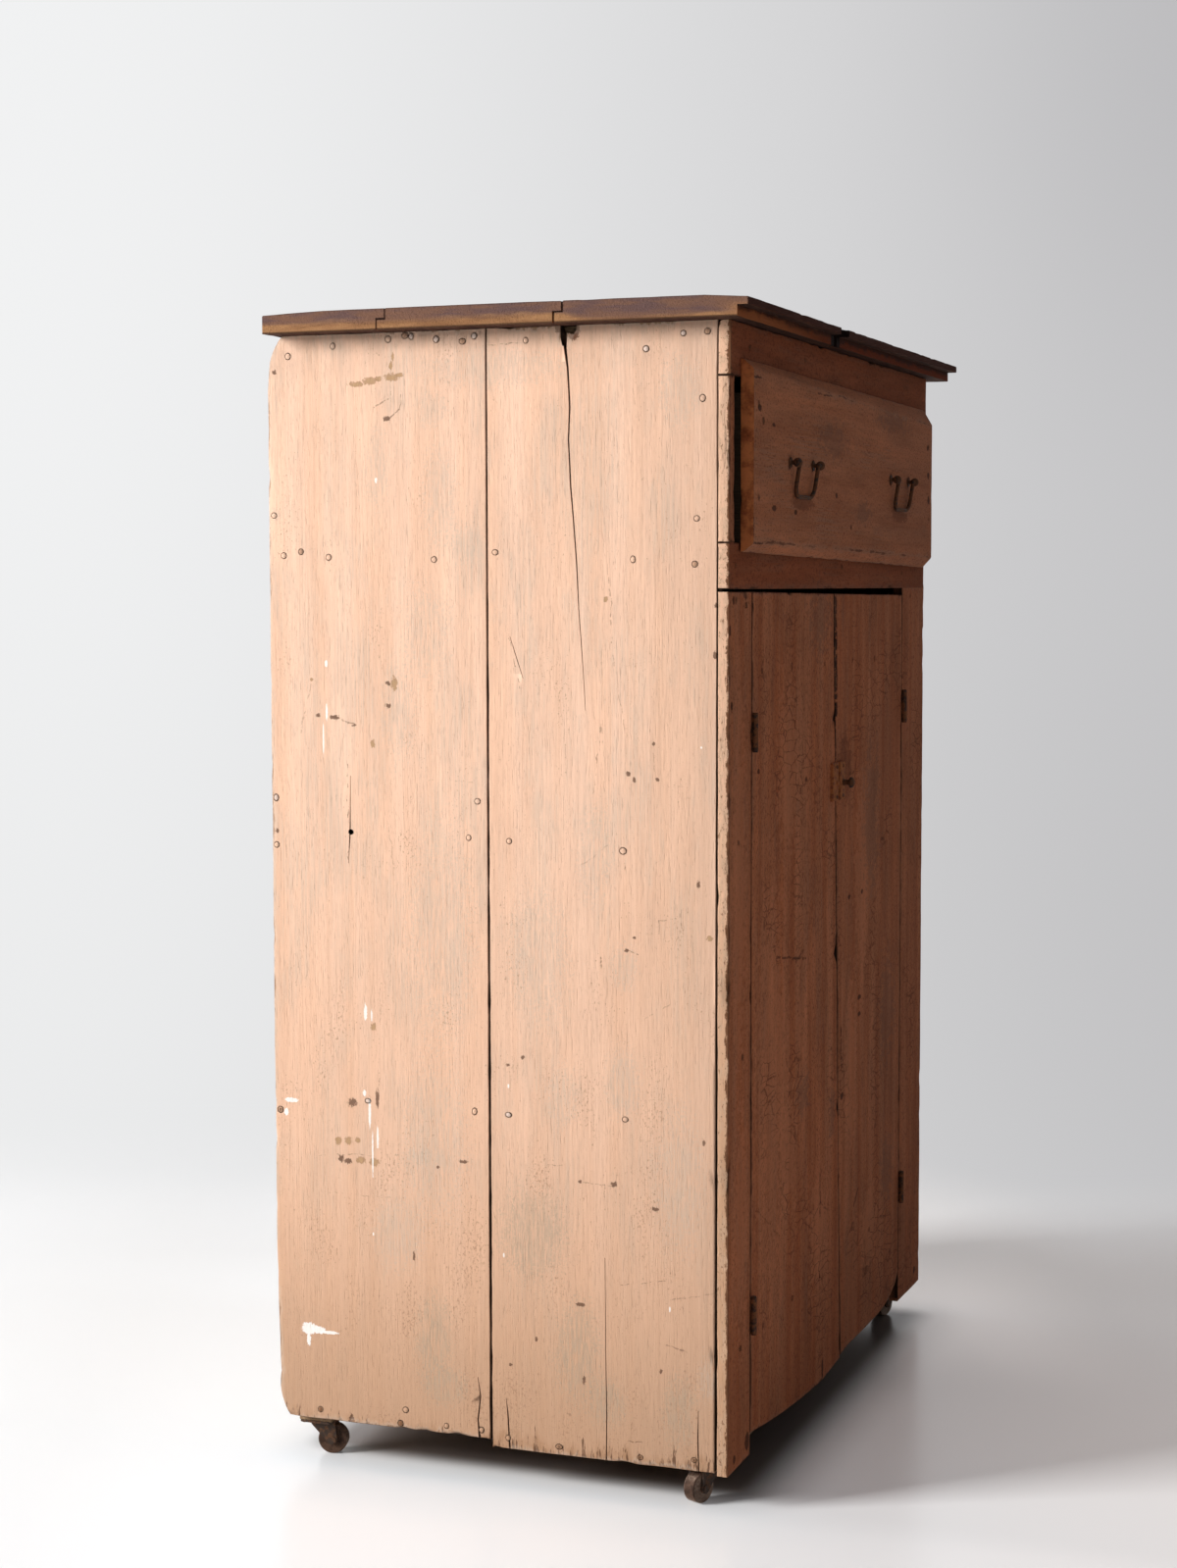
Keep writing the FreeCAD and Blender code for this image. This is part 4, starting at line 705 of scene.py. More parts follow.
SIDE_COLORS = (rgb(0.80, 0.495, 0.335), rgb(0.83, 0.54, 0.385), rgb(0.59, 0.47, 0.37), rgb(0.34, 0.22, 0.15))
FRONT_COLORS = (rgb(0.50, 0.150, 0.060), rgb(0.60, 0.215, 0.100), rgb(0.40, 0.19, 0.115),
                rgb(0.11, 0.030, 0.014))
RAIL_COLORS = (rgb(0.33, 0.092, 0.038), rgb(0.38, 0.120, 0.055), rgb(0.26, 0.125, 0.08),
               rgb(0.085, 0.024, 0.012))
DRAWER_COLORS = (rgb(0.52, 0.178, 0.080), rgb(0.57, 0.215, 0.105), rgb(0.44, 0.225, 0.145),
                 rgb(0.14, 0.045, 0.024))
SIDE_AMOUNTS = {"Clouding": 0.46, "Flecking": 0.27, "Specks": 0.30, "Speck Level": 0.62, "Patches": 0.07,
                "Brushing": 0.34}
FRONT_AMOUNTS = {"Clouding": 0.50, "Flecking": 0.55, "Specks": 0.55, "Speck Level": 0.52, "Patches": 0.22,
                 "Brushing": 0.55}
side_paint = painted("side_paint", "Z", SIDE_COLORS, rgb(0.36, 0.20, 0.115), SIDE_AMOUNTS, side_marks,
                     reach=0.85)
upright_paint = painted("upright_front_paint", "Z", FRONT_COLORS, rgb(0.13, 0.05, 0.025), FRONT_AMOUNTS,
                        front_marks, reach=0.8, rough=0.8, ends=pale_ends, gloss=0.06)
level_paint = painted("level_front_paint", "X", RAIL_COLORS, rgb(0.10, 0.04, 0.02), FRONT_AMOUNTS,
                      front_marks, reach=0.8, rough=0.8, ends=pale_ends, gloss=0.04)
drawer_paint = painted("drawer_front_paint", "X", DRAWER_COLORS, rgb(0.14, 0.055, 0.03), FRONT_AMOUNTS,
                       front_marks, reach=0.8, rough=0.75, ends=bare_ends, gloss=0.06)
print("painted finishes", [m.name for m in (side_paint, upright_paint, level_paint, drawer_paint)])

# %% [markdown]
# ## Bare wood
# The top is unpainted and dark with a century of grime, rubbed back to orange brown on its worn
# ends. Inside, the boards are raw: pale brown, dusty and darker along the grain.

# %% Bare wood finishes


def bare_wood(name, axis, dark, middle, light, ends, reach, rough=0.55, gloss=0.1):
    material, tree, shader = new_material(name, gloss)[:3]
    millimetres = case_millimetres(tree)
    vector = along_grain(tree, millimetres, axis)
    grain = placed_group(tree, GRAIN, {"Vector": vector})
    color = mixed(tree, mask(tree, grain["Bands"], 0.3, 0.7), dark, middle)
    color = stained(tree, color, mask(tree, grain["Fibre"], 0.4, 0.65), 0.4, light)
    color = stained(tree, color, grain["Figure"], 0.35, dark)
    color = stained(tree, color, grain["Pores"], 0.5, rgb(0.02, 0.012, 0.008))
    wear = placed_group(tree, WEAR, {"Vector": vector, "Reach": reach})
    color = stained(tree, color, wear["Rubbed"], 0.7, light)
    if ends:
        color = ends(tree, color, vector, millimetres)
    color = nail_colors(tree, color)
    roughness = calc(tree, "MULTIPLY_ADD", grain["Fibre"], 0.2, rough)
    height = calc(tree, "MULTIPLY_ADD", grain["Pores"], -0.6, grain["Fibre"])
    dress_shader(tree, shader, color, roughness, height, 0.0008, 0.9)
    return material


TOP_NOTCH = 331.5
TOP_JOINTS = [((153.8, 1184), (153.8, 1169), 1.2, 0.9), ((153.8, 1169), (163.3, 1169), 1.2, 0.9),
              ((163.3, 1169), (163.3, 1158), 1.2, 0.9), ((347.1, 1184), (347.1, 1169), 1.6, 1.0),
              ((347.1, 1169), (356.6, 1169), 1.6, 1.0), ((356.6, 1169), (356.6, 1158), 1.6, 1.0)]


def top_edges(tree, color, vector, millimetres):
    """End grain and lip of the top: orange tan below, purple grey grime with a painted sheen above, a worn
    front corner, painted shade in the notch.
    """
    split = parts(tree, millimetres)
    drawn = vector_calc(tree, "MULTIPLY", millimetres, (0.05, 0.017, 0.11))
    patches = clouds(tree, drawn, 5.0, 0.6)
    level = swayed(tree, split[2], patches, 15.0)
    level = calc(tree, "MULTIPLY_ADD", mask(tree, split[1], 165.0, 120.0), 5.5, level)
    # The purple grey above is grime with a painted sheen.
    grime = mixed(tree, mask(tree, patches, 0.40, 0.62), rgb(0.135, 0.078, 0.070), rgb(0.19, 0.098, 0.065))
    tan = mixed(tree, mask(tree, patches, 0.35, 0.65), rgb(0.37, 0.19, 0.088), rgb(0.25, 0.12, 0.055))
    end = mixed(tree, mask(tree, level, 1170.5, 1164.0), grime, tan)
    corner = times(tree, mask(tree, split[1], -6.0, -34.0), mask(tree, split[2], 1175.0, 1166.0))
    end = stained(tree, end, corner, 0.6, rgb(0.42, 0.195, 0.080))
    end = mixed(tree, mask(tree, split[2], 1160.5, 1159.0), end, rgb(0.09, 0.045, 0.025))
    flat = joined(tree, {1: split[1], 2: split[2]})
    end = scratches_on(tree, end, TOP_JOINTS, rgb(0.018, 0.009, 0.007), flat, 1.0, on_side)
    normal = parts(tree, add(tree, "NewGeometry").outputs["Normal"])
    lip = mixed(tree, mask(tree, level, 1172.0, 1167.0), rgb(0.066, 0.022, 0.014), rgb(0.165, 0.032, 0.010))
    worn = times(tree, mask(tree, split[0], 380.0, -20.0), mask(tree, level, 1176.0, 1168.0))
    lip = mixed(tree, worn, lip, rgb(0.44, 0.135, 0.045))
    color = mixed(tree, mask(tree, normal[1], -0.4, -0.8), color, lip)
    # Painted shade: the inside of the notch in the lip is near black.
    notch = distance(tree, split[0], TOP_NOTCH)
    notch = times(tree, mask(tree, notch, 18.0, 17.0), mask(tree, split[1], -24.0, -25.5))
    color = mixed(tree, notch, color, rgb(0.010, 0.005, 0.004))
    outer = mask(tree, distance(tree, split[0], CASE_ORIGIN.x), 446.0, 449.0)
    return stained(tree, color, side_facing(tree), outer, end)


def tread_grime(tree, color, vector, millimetres):
    """The casters' wooden wheels are black with grime on their flat sides."""
    patches = clouds(tree, stretched(tree, vector, 0.09, 0.09, 8.0), 4.0, 0.6)
    grime = mixed(tree, mask(tree, patches, 0.40, 0.62), rgb(0.045, 0.024, 0.016), rgb(0.10, 0.055, 0.036))
    return mixed(tree, side_facing(tree), color, grime)


def front_shade_and_grime(tree, color, vector, millimetres):
    """Painted shade, with grime from hands and dust, darkens the raw wood just behind the front nearly
    black.
    """
    y = parts(tree, millimetres)[1]
    return stained(tree, color, mask(tree, y, 60.0, 4.0), 0.9, rgb(0.022, 0.012, 0.008))


top_wood = bare_wood("top_board_wood", "X", rgb(0.045, 0.022, 0.018), rgb(0.085, 0.045, 0.034),
                     rgb(0.17, 0.085, 0.05), ends=top_edges, reach=0.6, rough=0.6, gloss=0.03)
inner_woods = {axis: bare_wood("inner_wood_" + axis.lower(), axis, rgb(0.20, 0.12, 0.065),
                               rgb(0.36, 0.23, 0.13), rgb(0.48, 0.34, 0.21),
                               ends=front_shade_and_grime if axis == "Y" else None, reach=0.3,
                               rough=0.6) for axis in "XYZ"}
caster_wood = bare_wood("caster_wood", "X", rgb(0.14, 0.085, 0.06), rgb(0.34, 0.235, 0.175),
                        rgb(0.47, 0.35, 0.28), ends=tread_grime, reach=0.6, rough=0.5)
print("bare wood finishes", [m.name for m in (top_wood, caster_wood, *inner_woods.values())])

# %% [markdown]
# ## Iron
# Forged and cast iron is never even: a fine pitted skin, brown rust in the hollows and a dull shine
# where it is handled. Pulls and knob are nearly black, plates and casters browner.

# %% Iron finishes


def iron(name, dark, rust, share, rough, metal):
    material, tree, shader = new_material(name)[:3]
    millimetres = case_millimetres(tree)
    patches = clouds(tree, stretched(tree, millimetres, 0.18, 0.18), 5.0, 0.65)
    pits = add(tree, "TexVoronoi", {"Vector": millimetres, "Scale": 0.9}).outputs[0]
    fine = clouds(tree, stretched(tree, millimetres, 1.2, 1.2, 5.0), 3.0, 0.6)
    rusty = mask(tree, patches, 0.62 - share * 0.3, 0.78 - share * 0.3)
    color = mixed(tree, rusty, dark, rust)
    color = stained(tree, color, mask(tree, fine, 0.35, 0.7), 0.35, rgb(0.012, 0.009, 0.008))
    roughness = calc(tree, "MULTIPLY_ADD", rusty, 0.25, rough)
    height = calc(tree, "MULTIPLY_ADD", pits, 0.5, fine)
    dress_shader(tree, shader, color, roughness, height, 0.00035, 0.8)
    tree.links.new(times(tree, rest(tree, rusty), metal), shader.inputs["Metallic"])
    return material


hinge_iron = iron("painted_hinge_iron", rgb(0.055, 0.025, 0.015), rgb(0.25, 0.095, 0.040), share=0.7,
                  rough=0.65, metal=0.0)
black_iron = iron("black_iron", rgb(0.024, 0.015, 0.011), rgb(0.150, 0.058, 0.024), share=0.80, rough=0.62,
                  metal=0.1)
old_iron = iron("old_iron", rgb(0.060, 0.040, 0.030), rgb(0.150, 0.070, 0.035), share=0.6, rough=0.5,
                metal=0.4)
latch_iron = iron("latch_iron", rgb(0.27, 0.080, 0.030), rgb(0.52, 0.175, 0.06), share=0.8, rough=0.7,
                  metal=0.0)
print("iron finishes", [m.name for m in (hinge_iron, black_iron, old_iron, latch_iron)])

# %% [markdown]
# ## Weathered boards
# A CAD board is perfectly straight. To weather it, its mesh is copied, cut into short lengths and
# bands near its edges, and its edges are pushed inward by noise, with a chip here and there. It
# never grows, so the cupboard keeps its size. The distance to the nearest edge is kept as the
# attribute that the edge wear reads.

# %% Weathering helpers

MERGE = 0.00001
EDGE_BANDS = (0.0025, 0.005, 0.009)
EDGE_REACH = 0.012
ARRIS_REACH = 0.002
SHIELDED = 0.004
SHARP = math.radians(25)
CREASE = math.radians(28)
SKIN_WEAR = 0.00012
RIPPLE_SCALE = 28
CHIP_SCALE = 45
CHIP_LEVEL = 0.42
SHIELD_SHARE = 0.2
JOINT_EDGE = 0.0014
CASE_TALL = 1.2


def clean_copy(node):
    shape = bmesh.new()
    shape.from_mesh(nodes[node].data)
    bmesh.ops.remove_doubles(shape, verts=shape.verts, dist=MERGE)
    bmesh.ops.dissolve_limit(shape, angle_limit=math.radians(1), verts=shape.verts, edges=shape.edges)
    return shape


def cut_bands(shape, spacing):
    low = Vector([min(v.co[i] for v in shape.verts) for i in range(3)])
    high = Vector([max(v.co[i] for v in shape.verts) for i in range(3)])
    for axis in range(3):
        size = high[axis] - low[axis]
        steps = [s for s in EDGE_BANDS if s < size * 0.4]
        cuts = [low[axis] + s for s in steps] + [high[axis] - s for s in steps]
        count = int(size / spacing)
        cuts += [low[axis] + size * k / count for k in range(1, count)]
        normal = Vector([float(i == axis) for i in range(3)])
        for cut in cuts:
            bmesh.ops.bisect_plane(shape, geom=shape.verts[:] + shape.edges[:] + shape.faces[:], dist=MERGE,
                                   plane_co=normal * cut, plane_no=normal)


def edge_points(shape):
    sharp = [e for e in shape.edges if len(e.link_faces) == 2 and e.calc_face_angle(0.0) > SHARP]
    tree = KDTree(3 * len(sharp))
    spots = [v.co for e in sharp for v in e.verts] + [(e.verts[0].co + e.verts[1].co) / 2 for e in sharp]
    for index, spot in enumerate(spots):
        tree.insert(spot, index)
    tree.balance()
    return tree


def wear_down(shape, tree, wear, chip, seed, calm):
    """Push the edges in by noise, less at the calm joints (axis, place) that a neighbour shields."""
    shape.normal_update()
    near = [tree.find(v.co)[2] for v in shape.verts]
    shift = Vector((seed * 3.1, seed * 1.7, seed * 0.9))
    moves = []
    for vert, gap in zip(shape.verts, near):
        here = vert.co + shift
        close = math.exp(-(gap / ARRIS_REACH) ** 2)
        if any(abs(vert.co[axis] - line) < SHIELDED for axis, line in calm):
            close *= SHIELD_SHARE
        ripple = 0.5 + 0.5 * noise.fractal(here * RIPPLE_SCALE, 0.8, 2.0, 3)
        broken = max(0.0, noise.fractal(here * CHIP_SCALE, 0.9, 2.0, 3) - CHIP_LEVEL)
        face = SKIN_WEAR * (1 + noise.noise(here * 14))
        moves.append(vert.normal * -(face + close * (wear * max(0.0, ripple) + chip * 4 * broken)))
    for vert, move in zip(shape.verts, moves):
        vert.co += move
    return near


def board_outline(node, spacing):
    """The points on the uncracked board's own edges, to measure from."""
    shape = clean_copy(node)
    cut_bands(shape, spacing)
    tree = edge_points(shape)
    shape.free()
    return tree


def open_joint(shape, joint, top, foot):
    """Worn arrises on both sides of a joint at y = joint: they step back, more so near the foot."""
    line = place(0, joint, 0).y
    depths = [vert.co.y for vert in shape.verts]
    inward = math.copysign(1.0, (min(depths) + max(depths)) / 2 - line)
    for vert in shape.verts:
        if abs(vert.co.y - line) < JOINT_EDGE and abs(vert.co.x) > abs(place(5, 0, 0).x):
            share = min(1.0, max(0.0, vert.co.z / CASE_TALL))
            size = (foot + (top - foot) * share) / 1000
            rough = 0.75 + 0.7 * noise.fractal(vert.co * 60, 0.9, 2.0, 3)
            vert.co.y += inward * size * max(0.2, rough)


LEVEL_EDGE = 0.0008
FACE_EDGE = 0.0016
SET_BACK = 0.0002


def close_levels(shape, levels):
    """Boards that meet at a level joint keep touching there, however much their edges are worn."""
    face = min(vert.co.y for vert in shape.verts)
    for vert in shape.verts:
        for level in levels:
            line = place(0, 0, level).z
            if abs(vert.co.z - line) < LEVEL_EDGE:
                vert.co.z = line
                if vert.co.y - face < FACE_EDGE:
                    vert.co.y = face + SET_BACK


def shade_and_dirt_depth(mesh, outward):
    """How far each point lies behind the board's face, as painted shade and dirt: 1 just behind it, half
    deep inside.
    """
    face = max(v.co.dot(outward) for v in mesh.vertices)
    dirt = []
    for vert in mesh.vertices:
        x, y, z = (vert.co * 1000 + CASE_ORIGIN)[:]
        depth = (face - vert.co.dot(outward)) * 1000
        free = (abs(outward.y) > 0.5 and (x < 2 or x > CASE_WIDTH - 2)) or y > SIDE_WIDTH - 2 or z < 1
        share = min(1.0, max(0.0, (depth - 0.8) / 0.5)) * (1.0 - 0.5 * min(1.0, max(0.0, (depth - 3) / 6)))
        dirt.append(0.0 if free else share)
    return dirt


def weathered(node, finish, wear=0.0007, chip=0.0012, spacing=0.012, cutters=(), joints=(),
              outward=(0, -1, 0), inside=None, shade_and_dirt=True, levels=()):
    """A worn copy of a CAD board; joints are (y, opening at the top, at the foot), levels the heights of
    level joints, in millimetres."""
    shape = clean_copy(node)
    if cutters:
        shape = carved(shape, cutters)
    cut_bands(shape, spacing)
    seed = len(weathered_boards) + 1
    calm = [(1, place(0, joint[0], 0).y) for joint in joints]
    calm += [(2, place(0, 0, level).z) for level in levels]
    near = wear_down(shape, board_outline(node, spacing), wear, chip, seed, calm)
    for joint in joints:
        open_joint(shape, *joint)
    close_levels(shape, levels)
    outward = Vector(outward)
    shape.normal_update()
    mesh = bpy.data.meshes.new("worn_" + node)
    for face in shape.faces:
        face.smooth = True
        face.material_index = 1 if inside and face.normal.dot(outward) < -0.7 else 0
    shape.to_mesh(mesh)
    shape.free()
    edge = [max(0.0, 1 - g / EDGE_REACH) for g in near]
    for joint in joints:
        tight = place(0, joint[0], 0).y
        edge = [e * (0.35 if abs(v.co.y - tight) < 0.014 else 1.0) for e, v in zip(edge, mesh.vertices)]
    mesh.attributes.new("edge", "FLOAT", "POINT").data.foreach_set("value", edge)
    mesh.attributes.new("board", "FLOAT", "POINT").data.foreach_set("value", [float(seed)] * len(near))
    # Painted shade and dirt in the board's joints and cracks.
    if shade_and_dirt:
        mesh.attributes.new("crevice_shade_and_dirt", "FLOAT", "POINT").data.foreach_set("value", shade_and_dirt_depth(mesh, outward))
    mesh.set_sharp_from_angle(angle=CREASE)
    mesh.materials.append(finish)
    if inside:
        mesh.materials.append(inside)
    board = bpy.data.objects.new("worn_" + node, mesh)
    bpy.context.scene.collection.objects.link(board)
    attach(board, nodes[node]["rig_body"])
    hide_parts(node)
    weathered_boards[node] = board
    return board


weathered_boards = {}

# %% [markdown]
# ## Cracks
# The left side has split from its broken top edge down through the front board, and short checks
# open at the foot. A crack is a wedge: wide at the face, closing inward. Each is swept along its
# measured points and cut out of the board before the board is weathered.

# %% Crack cutters

CRACKS = {
    "side_board_left_front": [
        ([(163, 1156, 4.2), (161, 1136, 3.4), (158.4, 1116, 2.4), (157.2, 1096, 2.0), (156.3, 1077, 2.1),
          (157.7, 1044, 1.8), (156.5, 1020, 1.7), (155.5, 998, 1.8), (152.3, 961, 1.5), (149.2, 919, 1.3),
          (147, 873, 1.0), (143, 820, 0.7), (140, 772, 0.3)], 12.0),
        ([(120, 212, 0.3), (119.5, 120, 0.8), (118.5, 50, 1.0), (119, -5, 1.4)], 10.0),
        ([(230, 54, 0.4), (228, 35, 1.5), (226, -5, 2.2)], 8.0),
        ([(19.5, 63, 0.4), (20, 35, 1.3), (19, -5, 1.6)], 8.0),
        ([(222, 846, 0.4), (216, 828, 0.9), (208, 804, 0.4)], 4.0)],
    "side_board_left_back": [
        ([(262, 73, 0.4), (259, 53, 1.3), (262, 28, 1.8), (260, 3, 2.3)], 10.0),
        ([(403, 700, 0.4), (404, 641, 1.6), (406, 608, 0.4)], 6.0)],
}


def wedge(points, depth):
    shape = bmesh.new()
    rows = []
    for y, z, width in points:
        rows.append([shape.verts.new(place(-2.0, y - width / 2, z)),
                     shape.verts.new(place(-2.0, y + width / 2, z)),
                     shape.verts.new(place(depth, y + 0.15, z)), shape.verts.new(place(depth, y - 0.15, z))])
    for first, second in zip(rows, rows[1:]):
        for i in range(4):
            shape.faces.new((first[i], first[(i + 1) % 4], second[(i + 1) % 4], second[i]))
    shape.faces.new(rows[0][::-1])
    shape.faces.new(rows[-1])
    bmesh.ops.recalc_face_normals(shape, faces=shape.faces)
    return shape


def loose_object(name, shape):
    mesh = bpy.data.meshes.new(name)
    shape.to_mesh(mesh)
    shape.free()
    thing = bpy.data.objects.new(name, mesh)
    bpy.context.scene.collection.objects.link(thing)
    return thing


def plain_mesh(thing):
    """The evaluated mesh of an object with modifiers; the object itself is then removed."""
    mesh = bpy.data.meshes.new_from_object(thing.evaluated_get(bpy.context.evaluated_depsgraph_get()))
    bpy.data.objects.remove(thing)
    return mesh


def carved(shape, cracks):
    board = loose_object("board_to_crack", shape)
    tools = [loose_object("crack", wedge(points, depth)) for points, depth in cracks]
    for tool in tools:
        cut = board.modifiers.new("crack", "BOOLEAN")
        cut.object = tool
        cut.operation = "DIFFERENCE"
        cut.solver = "EXACT"
    mesh = plain_mesh(board)
    for tool in tools:
        bpy.data.objects.remove(tool)
    result = bmesh.new()
    result.from_mesh(mesh)
    bpy.data.meshes.remove(mesh)
    bmesh.ops.remove_doubles(result, verts=result.verts, dist=MERGE)
    return result


# %% Worn boards

LEFT = (-1.0, 0.0, 0.0)
RIGHT = (1.0, 0.0, 0.0)
FRONT = (0.0, -1.0, 0.0)
BACK = (0.0, 1.0, 0.0)
UP = (0.0, 0.0, 1.0)
BOARD_JOINT = [(246.7, 0.1, 0.65), (247.3, 0.1, 0.65)]
FRAME_JOINT = [(0, 0.5, 0.9)]
for half in ("front", "back"):
    node = "side_board_left_" + half
    weathered(node, side_paint, cutters=CRACKS[node], joints=BOARD_JOINT + FRAME_JOINT, outward=LEFT,
              inside=inner_woods["Z"])
for half in ("front", "back"):
    weathered("side_board_right_" + half, side_paint, joints=BOARD_JOINT, outward=RIGHT,
              inside=inner_woods["Z"])
for node in ("door_stile_left", "door_stile_right", "drawer_stile_left", "drawer_stile_right", "door_left",
             "door_right"):
    weathered(node, upright_paint, wear=0.0006, chip=0.0014, inside=inner_woods["Z"], levels=FRAME_LEVELS)
for node in ("top_rail", "middle_rail"):
    weathered(node, level_paint, wear=0.0006, chip=0.0012, inside=inner_woods["X"], levels=FRAME_LEVELS)
weathered("drawer_front", drawer_paint, wear=0.0005, chip=0.0010, inside=inner_woods["X"], shade_and_dirt=False)
for node in ("top_board_front", "top_board_middle", "top_board_back"):
    weathered(node, top_wood, wear=0.0004, chip=0.0005, outward=UP, shade_and_dirt=False)
print("weathered boards", {n: len(b.data.polygons) for n, b in weathered_boards.items()})

# %% [markdown]
# ## Finishes for the parts that keep their CAD shape
# Shelves, drawer box and back boards are raw wood; hinges were painted over with the front; pulls,
# latch and casters are iron.

# %% Assign the finishes


def assign(finish, *names):
    for name in names:
        for slot in nodes[name].material_slots:
            slot.material = finish


corners = ("front_left", "back_left", "front_right", "back_right")
assign(inner_woods["X"], "bottom_board", "lower_shelf", "upper_shelf", "drawer_back", "door_battens_left",
       "door_battens_right", "caster_packing_blocks")
assign(inner_woods["Y"], "top_cleat_left", "top_cleat_right", "drawer_runner_left", "drawer_runner_right",
       "drawer_side_left", "drawer_side_right", "drawer_bottom")
assign(black_iron, "pull_posts_left", "pull_posts_right", "pull_bail_left", "pull_bail_right", "latch_knob",
       "hinge_pins")
assign(hinge_iron, "hinge_leaves_frame", "hinge_leaves_door_left", "hinge_leaves_door_right")
assign(latch_iron, "latch_keeper", "latch_case")
assign(old_iron, "caster_plates", "caster_screws", *["caster_fork_" + c for c in corners])
assign(caster_wood, *["caster_wheel_" + c for c in corners])
print("CAD parts with a finish", sum(1 for n in nodes if n not in weathered_boards))

# %% [markdown]
# ## Geometry Nodes in code
# What repeats is made by Geometry Nodes: nails, screws and the planks of the back. A tree gets named
# inputs for its sizes and a seed, ends in Realize Instances and Set Material, and its result is
# turned into one plain mesh for each body it rides on.

# %% Geometry node helpers


def new_tree(name, inputs):
    tree = bpy.data.node_groups.new(name, "GeometryNodeTree")
    face = tree.interface
    face.new_socket("Geometry", in_out="INPUT", socket_type="NodeSocketGeometry")
    for label, kind, value in inputs:
        socket = face.new_socket(label, in_out="INPUT", socket_type="NodeSocket" + kind)
        if value is not None:
            socket.default_value = value
    face.new_socket("Geometry", in_out="OUTPUT", socket_type="NodeSocketGeometry")
    return tree


def geo(tree, kind, inputs=None, **settings):
    return add(tree, kind, inputs, "GeometryNode", **settings)


def function(tree, kind, inputs=None, **settings):
    return add(tree, kind, inputs, "FunctionNode", **settings).outputs


def stored(tree, geometry, label, value):
    return geo(tree, "StoreNamedAttribute", {"Geometry": geometry, "Name": label, "Value": value},
               data_type="FLOAT", domain="POINT").outputs[0]


def carried(tree, label, kind="FLOAT"):
    return geo(tree, "InputNamedAttribute", {"Name": label}, data_type=kind).outputs[0]


def moved(tree, geometry, **where):
    return geo(tree, "SetPosition", {"Geometry": geometry, **where}).outputs[0]


def finished(tree, geometry, given):
    real = geo(tree, "RealizeInstances", {"Geometry": geometry}).outputs[0]
    dressed = geo(tree, "SetMaterial", {"Geometry": real, "Material": given["Finish"]}).outputs[0]
    leave = tree.nodes.new("NodeGroupOutput")
    tree.links.new(dressed, leave.inputs[0])


def grown(name, tree, points, values, marks=None):
    """Run a tree on loose points; marks are named lists of numbers or vectors that the points carry."""
    mesh = bpy.data.meshes.new(name)
    mesh.from_pydata(points, [], [])
    for label, numbers in (marks or {}).items():
        wide = isinstance(numbers[0], (tuple, Vector))
        layer = mesh.attributes.new(label, "FLOAT_VECTOR" if wide else "FLOAT", "POINT")
        flat = [c for n in numbers for c in n] if wide else numbers
        layer.data.foreach_set("vector" if wide else "value", flat)
    holder = bpy.data.objects.new(name + "_points", mesh)
    bpy.context.scene.collection.objects.link(holder)
    maker = holder.modifiers.new(name, "NODES")
    maker.node_group = tree
    for item in tree.interface.items_tree:
        if item.in_out == "INPUT" and item.name in values:
            maker[item.identifier] = values[item.name]
    thing = bpy.data.objects.new(name, plain_mesh(holder))
    thing.data.shade_smooth()
    bpy.context.scene.collection.objects.link(thing)
    return thing


# %% [markdown]
# ## The back
# The back is four upright planks, set tight. One plank is a box whose rows of points crowd
# towards its edges, so that the eased edge is crisp; the tree sets it at every place on a line and
# wears each plank differently, because the noise reads the finished place.

# %% Plank wall

FIRST_PLANK = 31.0


